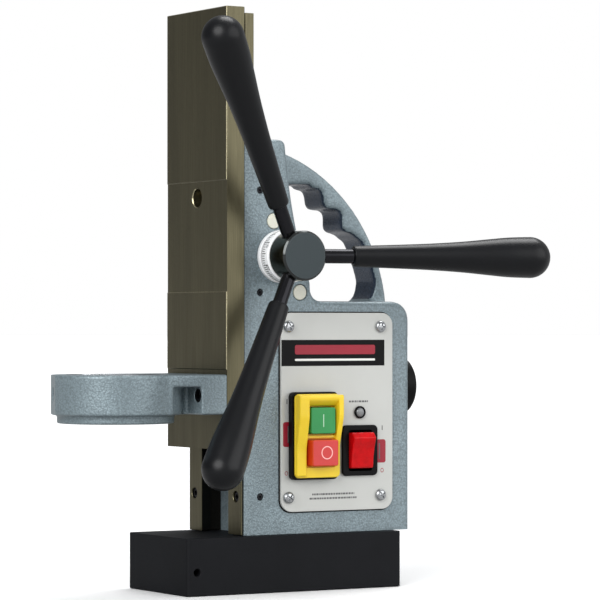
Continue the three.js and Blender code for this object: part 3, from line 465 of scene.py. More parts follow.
EXTRA = {
    # painted shade: a darker blue hammer finish for the handle's inner side, standing in for the shade there
    "grip_painted_shade": hammered((52, 64, 82), 0.3),
    "print_black": ink((14, 14, 15), 0.45, 0.06, specular=0.12),
    "print_red": ink((150, 12, 40), 0.42, 0.08),
    "print_grey": ink((92, 92, 92), 0.45, 0.05),
    "print_white": ink((236, 236, 232)),
    "stop_face": plain((207, 58, 55), 0.36, grain=0.4, depth=0.004, vary=0.05),
    "mark_pink": ink((250, 190, 186)),
    # painted highlight: a pale metal for the slide's front edge bevels, in place of the light they catch
    "edge_painted_highlight": plain((178, 170, 140), 0.3, 1.0, grain=0.4, depth=0.003),
    "shadow_gap": plain((16, 15, 12), 0.6, grain=0.5, depth=0.003, specular=0.1),
    "mark_green": ink((178, 214, 188)),
    "hub_side": plain((92, 93, 86), 0.2, 1.0, grain=0.5, depth=0.003, vary=0.1),
    "machined_bore": machined((176, 180, 184), 0.28, COLLAR_AXIS, "Z"),
    # painted shade: a darker yellow for the shaded recess inside the switch hood
    "yellow_painted_shade": moulded((240, 176, 12), 0.04, 0.4),
    "hub_rim": plain((70, 72, 72), 0.16, 1.0, grain=0.5, depth=0.002, vary=0.08),
}
for name, material in (*LOOKS.items(), *EXTRA.items()):
    material.name = name

SLOTS = {
    "magnet_black": ["magnet_housing"], "copper": ["magnet_coil"], "resin": ["magnet_potting"],
    "black_steel": ["base_bolt", "gib_screw", "rail_screw", "rack_screw", "collar_screw", "shaft_clip"],
    "hammered_grey": ["frame_casting", "drill_collar"],
    "bronze_anodised": ["guide_rail", "slide_plate"],
    "ivory": ["plug"], "panel_grey": ["panel_plate"], "zinc": ["panel_screw", "lid_pin"],
    "black_plastic": ["switch_base", "rocker_bezel", "lamp_bezel", "outlet", "cable_gland", "gland_nut"],
    "yellow_plastic": ["switch_shroud"], "green_plastic": ["start_button"], "red_plastic": ["stop_button"],
    "red_lens": ["magnet_rocker"], "lamp_lens": ["lamp_lens"], "board_green": ["control_board"],
    "steel": ["feed_rack", "pinion_shaft"], "bush_bronze": ["pinion_bush_far"],
    "dial_silver": ["pinion_bush_near", "graduated_dial"], "gunmetal": ["feed_hub"],
    "blackened_rod": ["spoke_rod"], "grip_plastic": ["feed_grip"],
}


def slot_of(node):
    return next(slot for slot, starts in SLOTS.items() for start in starts if node.startswith(start))


def finished(obj, name, body, slot, look=None, angle=32):
    """Scales a finished shape to metres, and gives it its name, body, material and smooth shading."""
    obj.name = obj.data.name = name
    obj.data.transform(Matrix.Scale(MM, 4))
    obj.data.materials.clear()
    obj.data.materials.append(look or LOOKS[slot])
    obj.data.shade_smooth()
    obj.data.set_sharp_from_angle(angle=radians(angle))
    obj.modifiers.new("normals", "WEIGHTED_NORMAL").keep_sharp = True
    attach(obj, body)
    return obj


def stands_for(obj, node, angle=32):
    """A finished shape in the place of one CAD node."""
    finished(obj, node + "_form", frame["nodes"][node]["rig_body"], slot_of(node), angle=angle)
    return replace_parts(obj, node)


def repaint(obj, look, wanted):
    """Another material on the faces whose centre (millimetres) and normal are wanted."""
    obj.data.materials.append(look)
    for face in obj.data.polygons:
        if wanted(face.center / MM, face.normal):
            face.material_index = len(obj.data.materials) - 1
    return obj


def socket_screw(node, axis, head_radius, head_height, radius, length, socket, point):
    """A cap or set screw: its head's face at `point`, its thread along the axis."""
    profile = [(0, 0), (head_radius, 0), (head_radius, head_height), (radius, head_height), (radius, length),
               (0, length)]
    if head_radius == radius:
        profile = [(0, 0), (radius, 0), (radius, length), (0, length)]
    screw = turned(softened(profile, 0.35, False), axis, point, 36)
    deep = head_height * 0.6
    hexagon = turned([(0, -1), (socket, -1), (socket, deep), (0, deep + 0.5)], axis, point, 6)
    return stands_for(cut(screw, hexagon), node)


# ---------------------------------------------------------------- magnet base

low, high = corners_of("magnet_housing")
BOLT_X, BOLT_Y, BOLT_CLEAR, BOLT_HEAD = (2, 38), 8, 3.3, 5.3
COIL_OUT, COIL_IN, COIL_DEPTH = (64, 30, 10), (48, 15, 5), 24
WIRE_HOLE, WIRE_R = (24, 22.5), 4
PILOT_X, PILOT_Z = -73, 15

housing = prism("XY", rounded(low.x, high.x, low.y, high.y, 2.5, 6), low.z, high.z, 0.7)
ring, core = [prism("XY", rounded(-x, x, -y, y, corner), -start, COIL_DEPTH + start - 1)
              for start, (x, y, corner) in ((1, COIL_OUT), (2, COIL_IN))]
cutters = [cut(ring, core), rod(WIRE_R, COIL_DEPTH - 1, high.z + 1, Z, (*WIRE_HOLE, 0))]
for side in (-1, 1):
    cutters.append(drill((PILOT_X, side * high.y, PILOT_Z), -side * Y, 2.5, 10, 0.3))
    for x in BOLT_X:
        cutters.append(rod(BOLT_CLEAR, -1, high.z + 1, Z, (x, side * BOLT_Y, 0)))
        cutters.append(rod(BOLT_HEAD, -1, 7, Z, (x, side * BOLT_Y, 0)))
stands_for(cut(housing, *cutters), "magnet_housing")
for node in ("magnet_coil", "magnet_potting"):
    stands_for(refined(node), node)
for i in range(4):
    at = (BOLT_X[i // 2], -BOLT_Y if i % 2 == 0 else BOLT_Y, 0.7)
    socket_screw(f"base_bolt_{i + 1}", Z, 5, 6, 3, 46.3, 2.75, at)

# ---------------------------------------------------------------- cast frame

low, high = corners_of("frame_casting")
FOOT, FRONT, HALF, COLUMN_TOP = low.z, low.x, high.y, high.z
COLUMN_REAR, BOX_REAR, BOX_TOP, BOX_CORNER = -3.8, high.x, 187, 12
WEB_X, WEB_Z, WEB_FILLET, COLUMN_CORNER = 15, 199, 8, 4
SPARE = 14
CAST_VOXEL, CAST_PASSES = 1.1, 7
ARCH = {"x": -29.6, "z": 173.4, "radius": 116.2, "half": 13.5}
GRIP_THICK, GRIP_THIN, GRIP_EDGE = 11.6, 6, 10.2
SCALLOP = {"depth": 3.0, "crest": 48, "pitch": 11, "first": 56.0, "last": 31.5}
SCALLOP_STEP = 0.875
RAIL_SEAT, RAIL_WALL, RACK_SLOT = -20, 31, (-14.6, 9)


def quadratic(start, pull, end, steps=10):
    """Points of a curve after its start, drawn towards one control point."""
    a, b, c = Vector(start), Vector(pull), Vector(end)
    ts = [k / steps for k in range(1, steps + 1)]
    return [tuple(a * (1 - t) ** 2 + b * 2 * t * (1 - t) + c * t * t) for t in ts]


def arch_point(radius, angle):
    """A point at a radius and an angle in degrees round the centre of the handle's arch."""
    return (ARCH["x"] + radius * cos(radians(angle)), ARCH["z"] + radius * sin(radians(angle)))


def handle_outline():
    """The carrying handle from the side: its outer arc, its root in the column, its scalloped inner side."""
    steps = 18
    points = [arch_point(ARCH["radius"], 6 + 67 * k / steps) for k in range(steps + 1)]
    points += [(COLUMN_REAR - 6, COLUMN_TOP - 7), (COLUMN_REAR - 6, COLUMN_TOP - 29),
               arch_point(ARCH["radius"] - GRIP_EDGE, 58.3)]
    angle = SCALLOP["first"]
    while angle >= SCALLOP["last"]:
        wave = cos(2 * pi * (angle - SCALLOP["crest"]) / SCALLOP["pitch"])
        points.append(arch_point(ARCH["radius"] - GRIP_THICK - SCALLOP["depth"] * wave, angle))
        angle -= SCALLOP_STEP
    points += [arch_point(ARCH["radius"] - GRIP_THIN, angle) for angle in (29, 26, 23, 20, 17, 14.5)]
    points += [arch_point(ARCH["radius"] - 7.6, 12), arch_point(ARCH["radius"] - GRIP_EDGE, 9.6),
               arch_point(ARCH["radius"] - 15, 7.6), (70, BOX_TOP - 6), (80, BOX_TOP - 6)]
    return points


body_line = [(FRONT - SPARE, FOOT - SPARE), (BOX_REAR - BOX_CORNER, FOOT - SPARE)]
body_line += [(BOX_REAR, FOOT - SPARE), (BOX_REAR, FOOT + BOX_CORNER)]
body_line += arc(BOX_REAR - BOX_CORNER, BOX_TOP - BOX_CORNER, BOX_CORNER, 0, 90)
body_line += arc(WEB_X + WEB_FILLET, BOX_TOP + WEB_FILLET, WEB_FILLET, -90, -180)
body_line += [(WEB_X, WEB_Z)]
body_line += quadratic((WEB_X, WEB_Z), (1, 235), (COLUMN_REAR, COLUMN_TOP - COLUMN_CORNER))
body_line += arc(COLUMN_REAR - COLUMN_CORNER, COLUMN_TOP - COLUMN_CORNER, COLUMN_CORNER, 0, 90)[1:]
body_line += [(FRONT - SPARE, COLUMN_TOP)]


def fused(obj, voxel):
    """Overlapping closed shapes in one mesh, remade as a single skin."""
    return modified(obj, "REMESH", mode="VOXEL", voxel_size=voxel)


skin = fused(prism("XZ", body_line, -HALF, HALF, 3.0, 4, 40), CAST_VOXEL)
arch = fused(prism("XZ", handle_outline(), -ARCH["half"], ARCH["half"], 3.2, 3, 50), CAST_VOXEL)
skin = fused(join(skin, arch), CAST_VOXEL)
skin = modified(skin, "SMOOTH", factor=0.5, iterations=CAST_PASSES)

(x0, x1), (z0, z1), n = (-5.5, 71), (54.5, 176), 11  # the box's cavity and the notch in each of its corners
mouth = [(x0 + n, z0), (x1 - n, z0), (x1 - n, z0 + n), (x1, z0 + n), (x1, z1 - n), (x1 - n, z1 - n),
         (x1 - n, z1), (x0 + n, z1), (x0 + n, z1 - n), (x0, z1 - n), (x0, z0 + n), (x0 + n, z0 + n)]
UNDERCUT = (57, 84, -26, 26, 65.5, 165)
NEAR_BORE, FAR_BORE, OUTLET_BORE, GLAND_BORE, SCREW_BORE = 9.3, 8.3, 17.3, 8.1, 2.3
PANEL_THREAD, PLUG_SEAT = 10, (5.2, 2.9)
PANEL_SCREWS = [(x, z) for z in (60.3, 170.5) for x in (-3.9, 66)]
GIB_X, GIB_Z = -23.5, (61.2, 126.8, 192.4, 258)
RAIL_SCREWS = [(y, z) for y in (-27.2, 27.2) for z in (61.5, 262)]
PLUG_AT = {"plug_upper": (-13.2, 238.4), "plug_lower": (6.3, 192.6)}
OUTLET_Z, GLAND_AT = 131, (18, 62)
cutters = [
    block(FRONT - 2 * SPARE, FRONT, -60, 60, 0, 320),
    block(-80, 120, -60, 60, FOOT - 2 * SPARE, FOOT),
    block(FRONT - 5, RAIL_SEAT, -RAIL_WALL, RAIL_WALL, 20, COLUMN_TOP + 5),
    block(RAIL_SEAT - 1, RACK_SLOT[0], -RACK_SLOT[1], RACK_SLOT[1], 20, COLUMN_TOP + 5),
    prism("XZ", mouth, -HALF - 2, HALF - 4),
    block(*UNDERCUT),
    rod(NEAR_BORE, -HALF - 2, 9, Y, (FEED_AXIS.x, 0, FEED_AXIS.z)),
    rod(FAR_BORE, 8, HALF + 2, Y, (FEED_AXIS.x, 0, FEED_AXIS.z)),
    rod(OUTLET_BORE, 83, BOX_REAR + 2, X, (0, 0, OUTLET_Z)),
    rod(GLAND_BORE, 76, BOX_REAR + 2, X, (0, *GLAND_AT)),
    rod(WIRE_R, FOOT - 3, 56, Z, (*WIRE_HOLE, 0)),
]
cutters += [drill((GIB_X, -HALF, z), Y, SCREW_BORE, 4, 0.35) for z in GIB_Z]
cutters += [drill((x, -HALF, z), Y, SCREW_BORE, PANEL_THREAD, 0.2) for x, z in PANEL_SCREWS]
cutters += [rod(SCREW_BORE, RAIL_SEAT - 1, -8, X, (0, y, z)) for y, z in RAIL_SCREWS]
cutters += [drill((x, -HALF, z), Y, *PLUG_SEAT, 0.6, 56) for x, z in PLUG_AT.values()]
cutters += [rod(BOLT_CLEAR, FOOT - 3, 48, Z, (x, y, 0)) for x in BOLT_X for y in (-BOLT_Y, BOLT_Y)]
skin = stands_for(cut(skin, *cutters), "frame_casting", angle=38)


def inside_grip(c, n):
    """The scalloped inner side of the carrying handle."""
    out = Vector((c.x - ARCH["x"], 0, c.z - ARCH["z"]))
    near = ARCH["radius"] - 24 < out.length < ARCH["radius"] - 2.5 and c.z > BOX_TOP + 2 and c.x > 4
    return near and abs(n.y) < 0.62 and n.dot(out.normalized()) < -0.2


# painted shade on the scalloped inner side of the handle: a darker, glossier hammer finish
repaint(skin, EXTRA["grip_painted_shade"], inside_grip)

for node, (x, z) in PLUG_AT.items():
    stands_for(rod(4.9, 0, 2.2, Y, (x, -HALF + 0.2, z), 0.7, 64), node)
for i, z in enumerate(GIB_Z):
    socket_screw(f"gib_screw_{i + 1}", Y, 2, 2, 2, 2.1, 1, (GIB_X, -HALF + 0.8, z))
for i, (y, z) in enumerate(RAIL_SCREWS):
    socket_screw(f"rail_screw_{i + 1}", X, 3.2, 3.6, 2, 27.8, 1.75, (-36.9, y, z))

# guide rails

RAIL = {"mouth": 17.3, "deep": 23.3, "flank": -27.8, "flange": -36.8}
for node, side in (("guide_rail_near", -1), ("guide_rail_far", 1)):
    low, high = corners_of(node)
    wall_side = side * (RAIL_WALL - GAP)
    section = [(low.x, side * RAIL["mouth"]), (RAIL["flank"], side * RAIL["deep"]),
               (high.x, side * RAIL["deep"]), (high.x, wall_side), (RAIL["flange"], wall_side),
               (RAIL["flange"], side * HALF), (low.x, side * HALF)]
    rail = prism("XY", section, low.z, high.z, 0.45, 2)
    holes = []
    for y, z in RAIL_SCREWS:
        if y * side > 0:
            holes.append(drill((low.x, y, z), X, 3.5, 4.9, 0.3))
            holes.append(rod(SCREW_BORE, 0, 30, X, (low.x, y, z)))
    rail = stands_for(cut(rail, *holes), node)
    repaint(rail, EXTRA["shadow_gap"], lambda c, n: side * n.y < -0.2 and c.x > low.x + 0.7)

# ---------------------------------------------------------------- control panel

low, high = corners_of("panel_plate")
FACE = low.y
PRINT, BITE = 0.04, 0.02  # thickness of one printed layer, and how far it goes into the face
ROCKER_AT, LAMP_AT = (49.3, 89.8), (49.8, 114.6)
ROCKER_HOLE = rounded(ROCKER_AT[0] - 12.5, ROCKER_AT[0] + 12.5, ROCKER_AT[1] - 15.1, ROCKER_AT[1] + 15.1, 1)
SWITCH_HOLE = rounded(1, 27, 77, 123, 1)
plate = prism("XZ", rounded(low.x, high.x, low.z, high.z, 8, 12), low.y, high.y, 0.35)
holes = [prism("XZ", outline, low.y - 1, high.y + 1) for outline in (SWITCH_HOLE, ROCKER_HOLE)]
holes += [rod(3.8, low.y - 1, high.y + 1, Y, (LAMP_AT[0], 0, LAMP_AT[1]))]
holes += [rod(SCREW_BORE, low.y - 1, high.y + 1, Y, (x, 0, z)) for x, z in PANEL_SCREWS]
stands_for(cut(plate, *holes), "panel_plate")
SEAL, LIP = 0.8, 3
seal_line = rounded(low.x - SEAL, high.x + SEAL, low.z - SEAL, high.z + SEAL, 8 + SEAL, 12)
hollow_line = rounded(low.x + LIP, high.x - LIP, low.z + LIP, high.z - LIP, 6, 12)
gasket = cut(prism("XZ", seal_line, high.y + 0.04, -HALF - 0.03),
             prism("XZ", hollow_line, high.y - 1, 1 - HALF))
finished(gasket, "panel_gasket", "stand", "black_plastic")


def printed(name, outline, look, level=1, face=FACE, body="stand", slot="panel_grey"):
    """A flat printed mark, a few hundredths thick, on a face that looks towards -Y."""
    return finished(prism("XZ", outline, face - PRINT * level, face + BITE), name, body, slot, EXTRA[look])


def ring_mark(name, x, z, outer, inner, wide, look, level=1, face=FACE, body="stand", slot="panel_grey"):
    """An O drawn as a ring, narrower than it is high by the factor `wide`."""
    outside, inside = [[(x + a * wide, z + b) for a, b in arc(0, 0, radius, 0, 360, 40)[:-1]]
                       for radius in (outer, inner)]
    top = face - PRINT * level
    shape = cut(prism("XZ", outside, top, face + BITE), prism("XZ", inside, top - 1, face + 1))
    return finished(shape, name, body, slot, EXTRA[look])


left, right, bottom, top = low.x + 0.2, 69.3, 145, 161.9
printed("banner", [(left, bottom), (right, bottom), (right, top), (left, top)], "print_black")
for name, limits, corner, steps, look, level in (
        ("banner_stripe", (1, 62, 152.5, 158.6), 1.2, 4, "print_red", 2),
        ("banner_rule", (1, 62, 148.3, 149.7), 0.5, 3, "print_white", 2),
        ("motor_tag", (-7.9, -0.5, 93, 109), 1.5, 5, "print_red", 1),
        ("motor_tag_line", (-4.6, -3.8, 95.5, 106.5), 0.3, 3, "print_grey", 2),
        ("magnet_tag", (60.5, 70.2, 81.4, 96.6), 1.5, 5, "print_red", 1),
        ("magnet_tag_line", (64.9, 65.8, 83.8, 94.2), 0.3, 3, "print_grey", 2),
        ("motor_on_mark", (-5.3, -4.8, 120.6, 123.8), 0.2, 2, "print_black", 1),
        ("magnet_on_mark", (67.3, 67.8, 102.6, 105.8), 0.2, 2, "print_black", 1)):
    printed(name, rounded(*limits, corner, steps), look, level)
ring_mark("motor_off_mark", -5.5, 76, 1.4, 1.0, 0.8, "print_red")
ring_mark("magnet_off_mark", 67.5, 76.4, 1.5, 1.05, 0.8, "print_red")


def dashes(name, rows, seed):
    """Rows of short grey dashes in the place of small print: (x from, x to, z) each."""
    draw, half = Random(seed), 0.6
    parts = []
    for x, last, z in rows:
        while x < last:
            end = min(x + draw.uniform(0.7, 1.9), last)
            line = [(x, z - half), (end, z - half), (end, z + half), (x, z + half)]
            parts.append(between(*[[(u, y, v) for u, v in line] for y in (FACE - PRINT, FACE + BITE)]))
            x = end + draw.uniform(0.35, 0.6)
    return finished(gathered(parts), name, "stand", "panel_grey", EXTRA["print_grey"])


dashes("foot_lines", ((14, 46, 61.9), (12, 48, 59.2)), 3)
dashes("lamp_line", ((42, 56.5, 121.7),), 5)

HEAD_HIGH = 2.5
for i, (x, z) in enumerate(PANEL_SCREWS):
    head = FACE - GAP - HEAD_HIGH
    profile = [(0, head)]
    profile += flowing([(1.2, head + 0.02), (2.4, head + 0.3), (3.4, head + 1.0), (3.9, head + 2.0)], 4)
    profile += [(3.9, head + HEAD_HIGH), (2, head + HEAD_HIGH), (2, -24), (0, -24)]
    cross = []
    for turn in (35 + 20 * i, 125 + 20 * i):
        wing = block(-2.4, 2.4, head - 1, head + 1.7, -0.5, 0.5, 0.08)
        wing.data.transform(Matrix.Translation((x, 0, z)) @ Matrix.Rotation(radians(turn), 4, "Y"))
        cross.append(wing)
    stands_for(cut(turned(profile, Y, (x, 0, z), 56), *cross), f"panel_screw_{i + 1}")

# motor switch

START = {"z": 109.9, "w": 18.5, "h": 17, "front": -46.5}
STOP = {"z": 89.1, "w": 19.5, "h": 17, "front": -49.2}
BUTTON_X = 16.4
SX0, SX1, SZ0, SZ1 = -3, 30.8, 73, 127
BASE_FRONT, SHROUD_FACE, HOOD = -41.4, -43.5, -49
WINDOW, WINDOW_START, WINDOW_STOP = (4.7, 26.9), (100.3, 119.3), (79.6, 98.7)
RIM_SIDE, RIM_ENDS = (1.1, -0.4), 1.3



def around(button, grow=0.0):
    """The x and z limits of a button, moved out by `grow`."""
    return (BUTTON_X - button["w"] / 2 - grow, BUTTON_X + button["w"] / 2 + grow,
            button["z"] - button["h"] / 2 - grow, button["z"] + button["h"] / 2 + grow)


rim_line = rounded(SX0 - RIM_SIDE[0], SX1 + RIM_SIDE[1], SZ0 - RIM_ENDS, SZ1 + RIM_ENDS, 3, 5)
rim = prism("XZ", rim_line, BASE_FRONT, FACE - GAP, 0.5)
inner = block(1.4, 26.6, FACE - 1, -14, 77.4, 122.6, 0.5)
wells = []
for button in (START, STOP):
    left, right, bottom, top = around(button, GAP)
    wells.append(block(left, right, BASE_FRONT - 1, -29, bottom, top))
stands_for(cut(join(rim, inner), *wells), "switch_base")


def raised(points, low, high, edge=0.9):
    """A wall of the shroud from its side outline, its edges rounded over."""
    return prism("YZ", softened(points, 1.6, True, 3), low, high, edge, 3, 40)


frame_ring = prism("XZ", rounded(SX0, SX1, SZ0, SZ1, 3, 6), SHROUD_FACE, BASE_FRONT - GAP, 0.6, 3)
wall = raised([(SHROUD_FACE + 1, 93), (SHROUD_FACE + 1, SZ1 - 0.5), (HOOD, SZ1 - 0.5), (HOOD, 112),
               (SHROUD_FACE - 0.2, 93)], WINDOW[1] - 0.1, SX1 - 0.4)
rail = raised([(SHROUD_FACE + 1, SZ0 + 1), (SHROUD_FACE + 1, SZ1 - 0.5), (HOOD, SZ1 - 0.5), (HOOD, 112),
               (SHROUD_FACE - 1.6, 91), (SHROUD_FACE - 1.6, SZ0 + 1)], SX0 + 0.3, WINDOW[0] + 0.1, 2.4)
roof = raised([(SHROUD_FACE + 1, 119.0), (SHROUD_FACE - 1, 119.5), (HOOD, 123.2), (HOOD, SZ1 - 0.5),
               (SHROUD_FACE + 1, SZ1 - 0.5)], SX0 + 2.5, SX1 - 1, 0.9)
shroud = join(frame_ring, wall, rail, roof)
openings = [prism("XZ", rounded(WINDOW[0], WINDOW[1], z0, z1, 0.8, 3), HOOD - 3, BASE_FRONT + 1)
            for z0, z1 in (WINDOW_START, WINDOW_STOP)]
shroud = stands_for(cut(shroud, *openings), "switch_shroud", angle=40)

for node, button in (("start_button", START), ("stop_button", STOP)):
    stands_for(prism("XZ", rounded(*around(button), 1.4, 5), button["front"], -34, 0.7), node)
printed("stop_face", rounded(*around(STOP, -0.8), 1.0, 4), "stop_face", 1, STOP["front"], "stop",
        "red_plastic")
ring_mark("stop_mark", BUTTON_X + 1, STOP["z"] + 0.2, 4.3, 3.6, 1.0, "mark_pink", 2, STOP["front"], "stop",
          "red_plastic")
printed("start_mark", rounded(BUTTON_X - 0.3, BUTTON_X + 0.3, START["z"] - 4.1, START["z"] + 4.1, 0.25, 3),
        "mark_green", 1, START["front"], "start", "green_plastic")
# seal rings round the buttons, coloured a darker yellow as painted shade of the hood's recess
for name, button, (z0, z1) in (("start_seal", START, WINDOW_START), ("stop_seal", STOP, WINDOW_STOP)):
    outside = rounded(WINDOW[0] + 0.1, WINDOW[1] - 0.1, z0 + 0.1, z1 - 0.1, 0.8, 3)
    seal = cut(prism("XZ", outside, BASE_FRONT - 0.6, BASE_FRONT - 0.05, 0.1),
               prism("XZ", rounded(*around(button, 0.25), 1.4, 4), BASE_FRONT - 2, BASE_FRONT + 2))
    finished(seal, name, "stand", "yellow_plastic", EXTRA["yellow_painted_shade"])

# magnet switch and lamp

low, high = corners_of("rocker_bezel")
rx, rz = ROCKER_AT
rim = prism("XZ", rounded(low.x, high.x, low.z, high.z, 3, 6), low.y, FACE - GAP, 0.8)
inner = block(rx - 12.2, rx + 12.2, FACE - 1, high.y, rz - 14.8, rz + 14.8, 0.4)
well = prism("XZ", rounded(rx - 8.9, rx + 8.9, rz - 13.4, rz + 13.4, 1.2, 4), low.y - 1, -23)
stands_for(cut(join(rim, inner), well), "rocker_bezel")

low, high = corners_of("magnet_rocker")
ROCKER_PIVOT = -37
side_line = [(ROCKER_PIVOT + y, rz + z) for y, z in (
    (-3.2, -11.6), (4, -11.2), (8, -6), (8, 6), (4, 11.2), (-5, 11.9), (-8, 8.4), (-5.9, 2), (-4.6, -5),
    (-4.2, -10.8))]
rocker = prism("YZ", softened(side_line, 0.9, True, 4), low.x, high.x, 0.6, 3, 40)
stands_for(rocker, "magnet_rocker")

lx, lz = LAMP_AT
low, high = corners_of("lamp_bezel")
profile = softened([(3.2, high.y), (3.2, low.y), (4.1, low.y + 0.4), (4.1, FACE - GAP), (3.5, FACE - GAP),
                    (3.5, high.y)], 0.3)
stands_for(turned(profile, Y, (lx, 0, lz)), "lamp_bezel")
low, high = corners_of("lamp_lens")
profile = [(0, low.y)] + flowing([(1.1, low.y + 0.03), (2.1, low.y + 0.25), (2.9, low.y + 0.9)], 4)
profile += [(2.9, high.y), (0, high.y)]
stands_for(turned(profile, Y, (lx, 0, lz)), "lamp_lens")
stands_for(refined("control_board"), "control_board")

# ---------------------------------------------------------------- rear outlet and mains inlet

SEAT, WELL, FLANGE, BARREL = BOX_REAR + GAP, 14.6, 20.5, 17
RIM, FLOOR, CAP = 94.6, 78, 107.5
HINGE_X, HINGE_Z, KNUCKLE, PIN_HOLE = 98.2, 155.4, 3.8, 1.8
HINGE, OUTLET = (HINGE_X, 0, HINGE_Z), (0, 0, OUTLET_Z)
shell = turned(softened([(0, 74), (BARREL, 74), (BARREL, SEAT), (FLANGE, SEAT), (FLANGE, RIM), (WELL, RIM),
                         (WELL, FLOOR), (0, FLOOR)], 0.6, False), X, OUTLET, 80)
ears = []
for y0, y1 in ((-9, -5), (5, 9)):
    ear = join(rod(KNUCKLE, y0, y1, Y, HINGE, 0.5, 64),
               block(SEAT, RIM, y0, y1, OUTLET_Z + 15, HINGE_Z, 0.3),
               block(RIM - 1, HINGE_X, y0, y1, OUTLET_Z + 20, HINGE_Z + 2.6, 0.3))
    ears.append(cut(ear, rod(PIN_HOLE, y0 - 1, y1 + 1, Y, HINGE)))
stands_for(join(shell, *ears), "outlet_body")
insert = rod(WELL - GAP, FLOOR + GAP, FLOOR + 4, X, OUTLET, 0.4, 64)
pin_wells = [rod(2.6, FLOOR, FLOOR + 5, X, (0, y, OUTLET_Z)) for y in (-6.5, 6.5)]
stands_for(cut(insert, *pin_wells), "outlet_contacts")
cap_line = [(0, RIM + 3), (WELL - 1, RIM + 3), (WELL - 1, RIM + GAP), (FLANGE - 1, RIM + GAP),
            (FLANGE - 1, CAP - 4)]
cap_line += flowing([(FLANGE - 1.3, CAP - 2.6), (FLANGE - 2.4, CAP - 1.2), (FLANGE - 5, CAP - 0.35),
                     (FLANGE - 9, CAP - 0.05)], 3) + [(0, CAP)]
cap = turned(cap_line, X, OUTLET, 80)
tab = join(rod(KNUCKLE, -4.7, 4.7, Y, HINGE, 0.5, 64),
           block(HINGE_X - 1, HINGE_X + KNUCKLE, -4.7, 4.7, OUTLET_Z + 15, HINGE_Z, 0.3))
stands_for(cut(join(cap, tab), rod(PIN_HOLE, -6, 6, Y, HINGE)), "outlet_lid")
stands_for(rod(1.5, -9.5, 9.5, Y, HINGE, 0.4), "lid_pin")

gy, gz = GLAND_AT
GLAND, END, CABLE = (0, gy, gz), 110, 4
body = turned(softened([(CABLE, 79), (7.8, 79), (7.8, END - 6), (CABLE, END - 6)], 0.4), X, GLAND)
hexagon = turned([(0, SEAT), (10.4, SEAT), (11, SEAT + 0.6), (11, SEAT + 4.4), (10.4, SEAT + 5),
                  (0, SEAT + 5)], X, GLAND, 6)
stands_for(cut(join(body, hexagon), rod(CABLE, 70, END + 1, X, GLAND)), "cable_gland")
nut_line = [(CABLE, END - 5.6), (8.1, END - 5.6), (8.1, SEAT + 5.3), (9.6, SEAT + 5.3), (9.6, END - 6),
            (8.6, END - 2.6), (5.6, END), (CABLE, END)]
nut = turned(softened(nut_line, 0.6), X, GLAND)
grooves = [rod(0.5, SEAT + 6, END - 5, X, (0, gy + 9.8 * cos(k * pi / 9), gz + 9.8 * sin(k * pi / 9)), 0, 10)
           for k in range(18)]
stands_for(cut(nut, *grooves), "gland_nut")

# ---------------------------------------------------------------- slide

low, high = corners_of("slide_plate")
PLATE_BACK, STEP, RACK_BACK, RACK_HALF, SCREW_CLEAR = -38.2, 0.6, -26.9, 7.8, 2.8
TONGUE = {"mouth": 17, "deep": 23, "flank": -28.2, "end": 2}
RECESSES = ((low.z - 1, 143.5), (192.4, 264.2))
SLIDE_HOLE_Z, RACK_SCREW_Z = 253.5, (110, 356)
COLLAR_SCREWS = [(side * 33, 126.8) for side in (-1, 1)]
plate = block(low.x, PLATE_BACK, low.y, high.y, low.z, high.z, 0.55)
half_line = [(PLATE_BACK - 2, TONGUE["mouth"]), (PLATE_BACK, TONGUE["mouth"]),
             (TONGUE["flank"], TONGUE["deep"]), (high.x, TONGUE["deep"])]
tongue_line = [(x, -y) for x, y in half_line] + half_line[::-1]
tongue = prism("XY", tongue_line, low.z + TONGUE["end"], high.z - TONGUE["end"], 0.3, 2)
slide = join(plate, tongue)
cutters = []
for z0, z1 in RECESSES:
    recess = [(low.x - 1, z0 - 1), (low.x - 1, z1 + 1), (low.x + STEP, z1 - STEP), (low.x + STEP, z0 + STEP)]
    cutters.append(prism("XZ", recess, low.y - 1, high.y + 1))
cutters += [block(RACK_BACK, high.x + 1, -RACK_HALF, RACK_HALF, low.z - 1, high.z + 1),
            drill((low.x + STEP, 0, SLIDE_HOLE_Z), X, 6, 9.4, 0.5, 56)]
cutters += [drill((low.x + STEP, y, z), X, SCREW_CLEAR, 11, 0.3) for y, z in COLLAR_SCREWS]
cutters += [rod(1.9, -34, -26, X, (0, 0, z)) for z in RACK_SCREW_Z]
slide = stands_for(cut(slide, *cutters), "slide_plate")
# painted highlight on the bevels round the slide's front face
repaint(slide, EXTRA["edge_painted_highlight"], lambda c, n: (c.x < PLATE_BACK and 0.25 < -n.x < 0.97 and abs(n.z) < 0.97
                                                 and (abs(n.y) > 0.25 or n.z > 0.25)))
repaint(slide, EXTRA["shadow_gap"],
        lambda c, n: PLATE_BACK - 0.7 < c.x <= PLATE_BACK and abs(n.y) > 0.2 and n.x > 0.2)
stands_for(refined("feed_rack", 0.12), "feed_rack")
for i, z in enumerate(RACK_SCREW_Z):
    socket_screw(f"rack_screw_{i + 1}", -X, 3.2, 2.8, 1.6, 12.6, 1.75, (-20, 0, z))

# drill collar

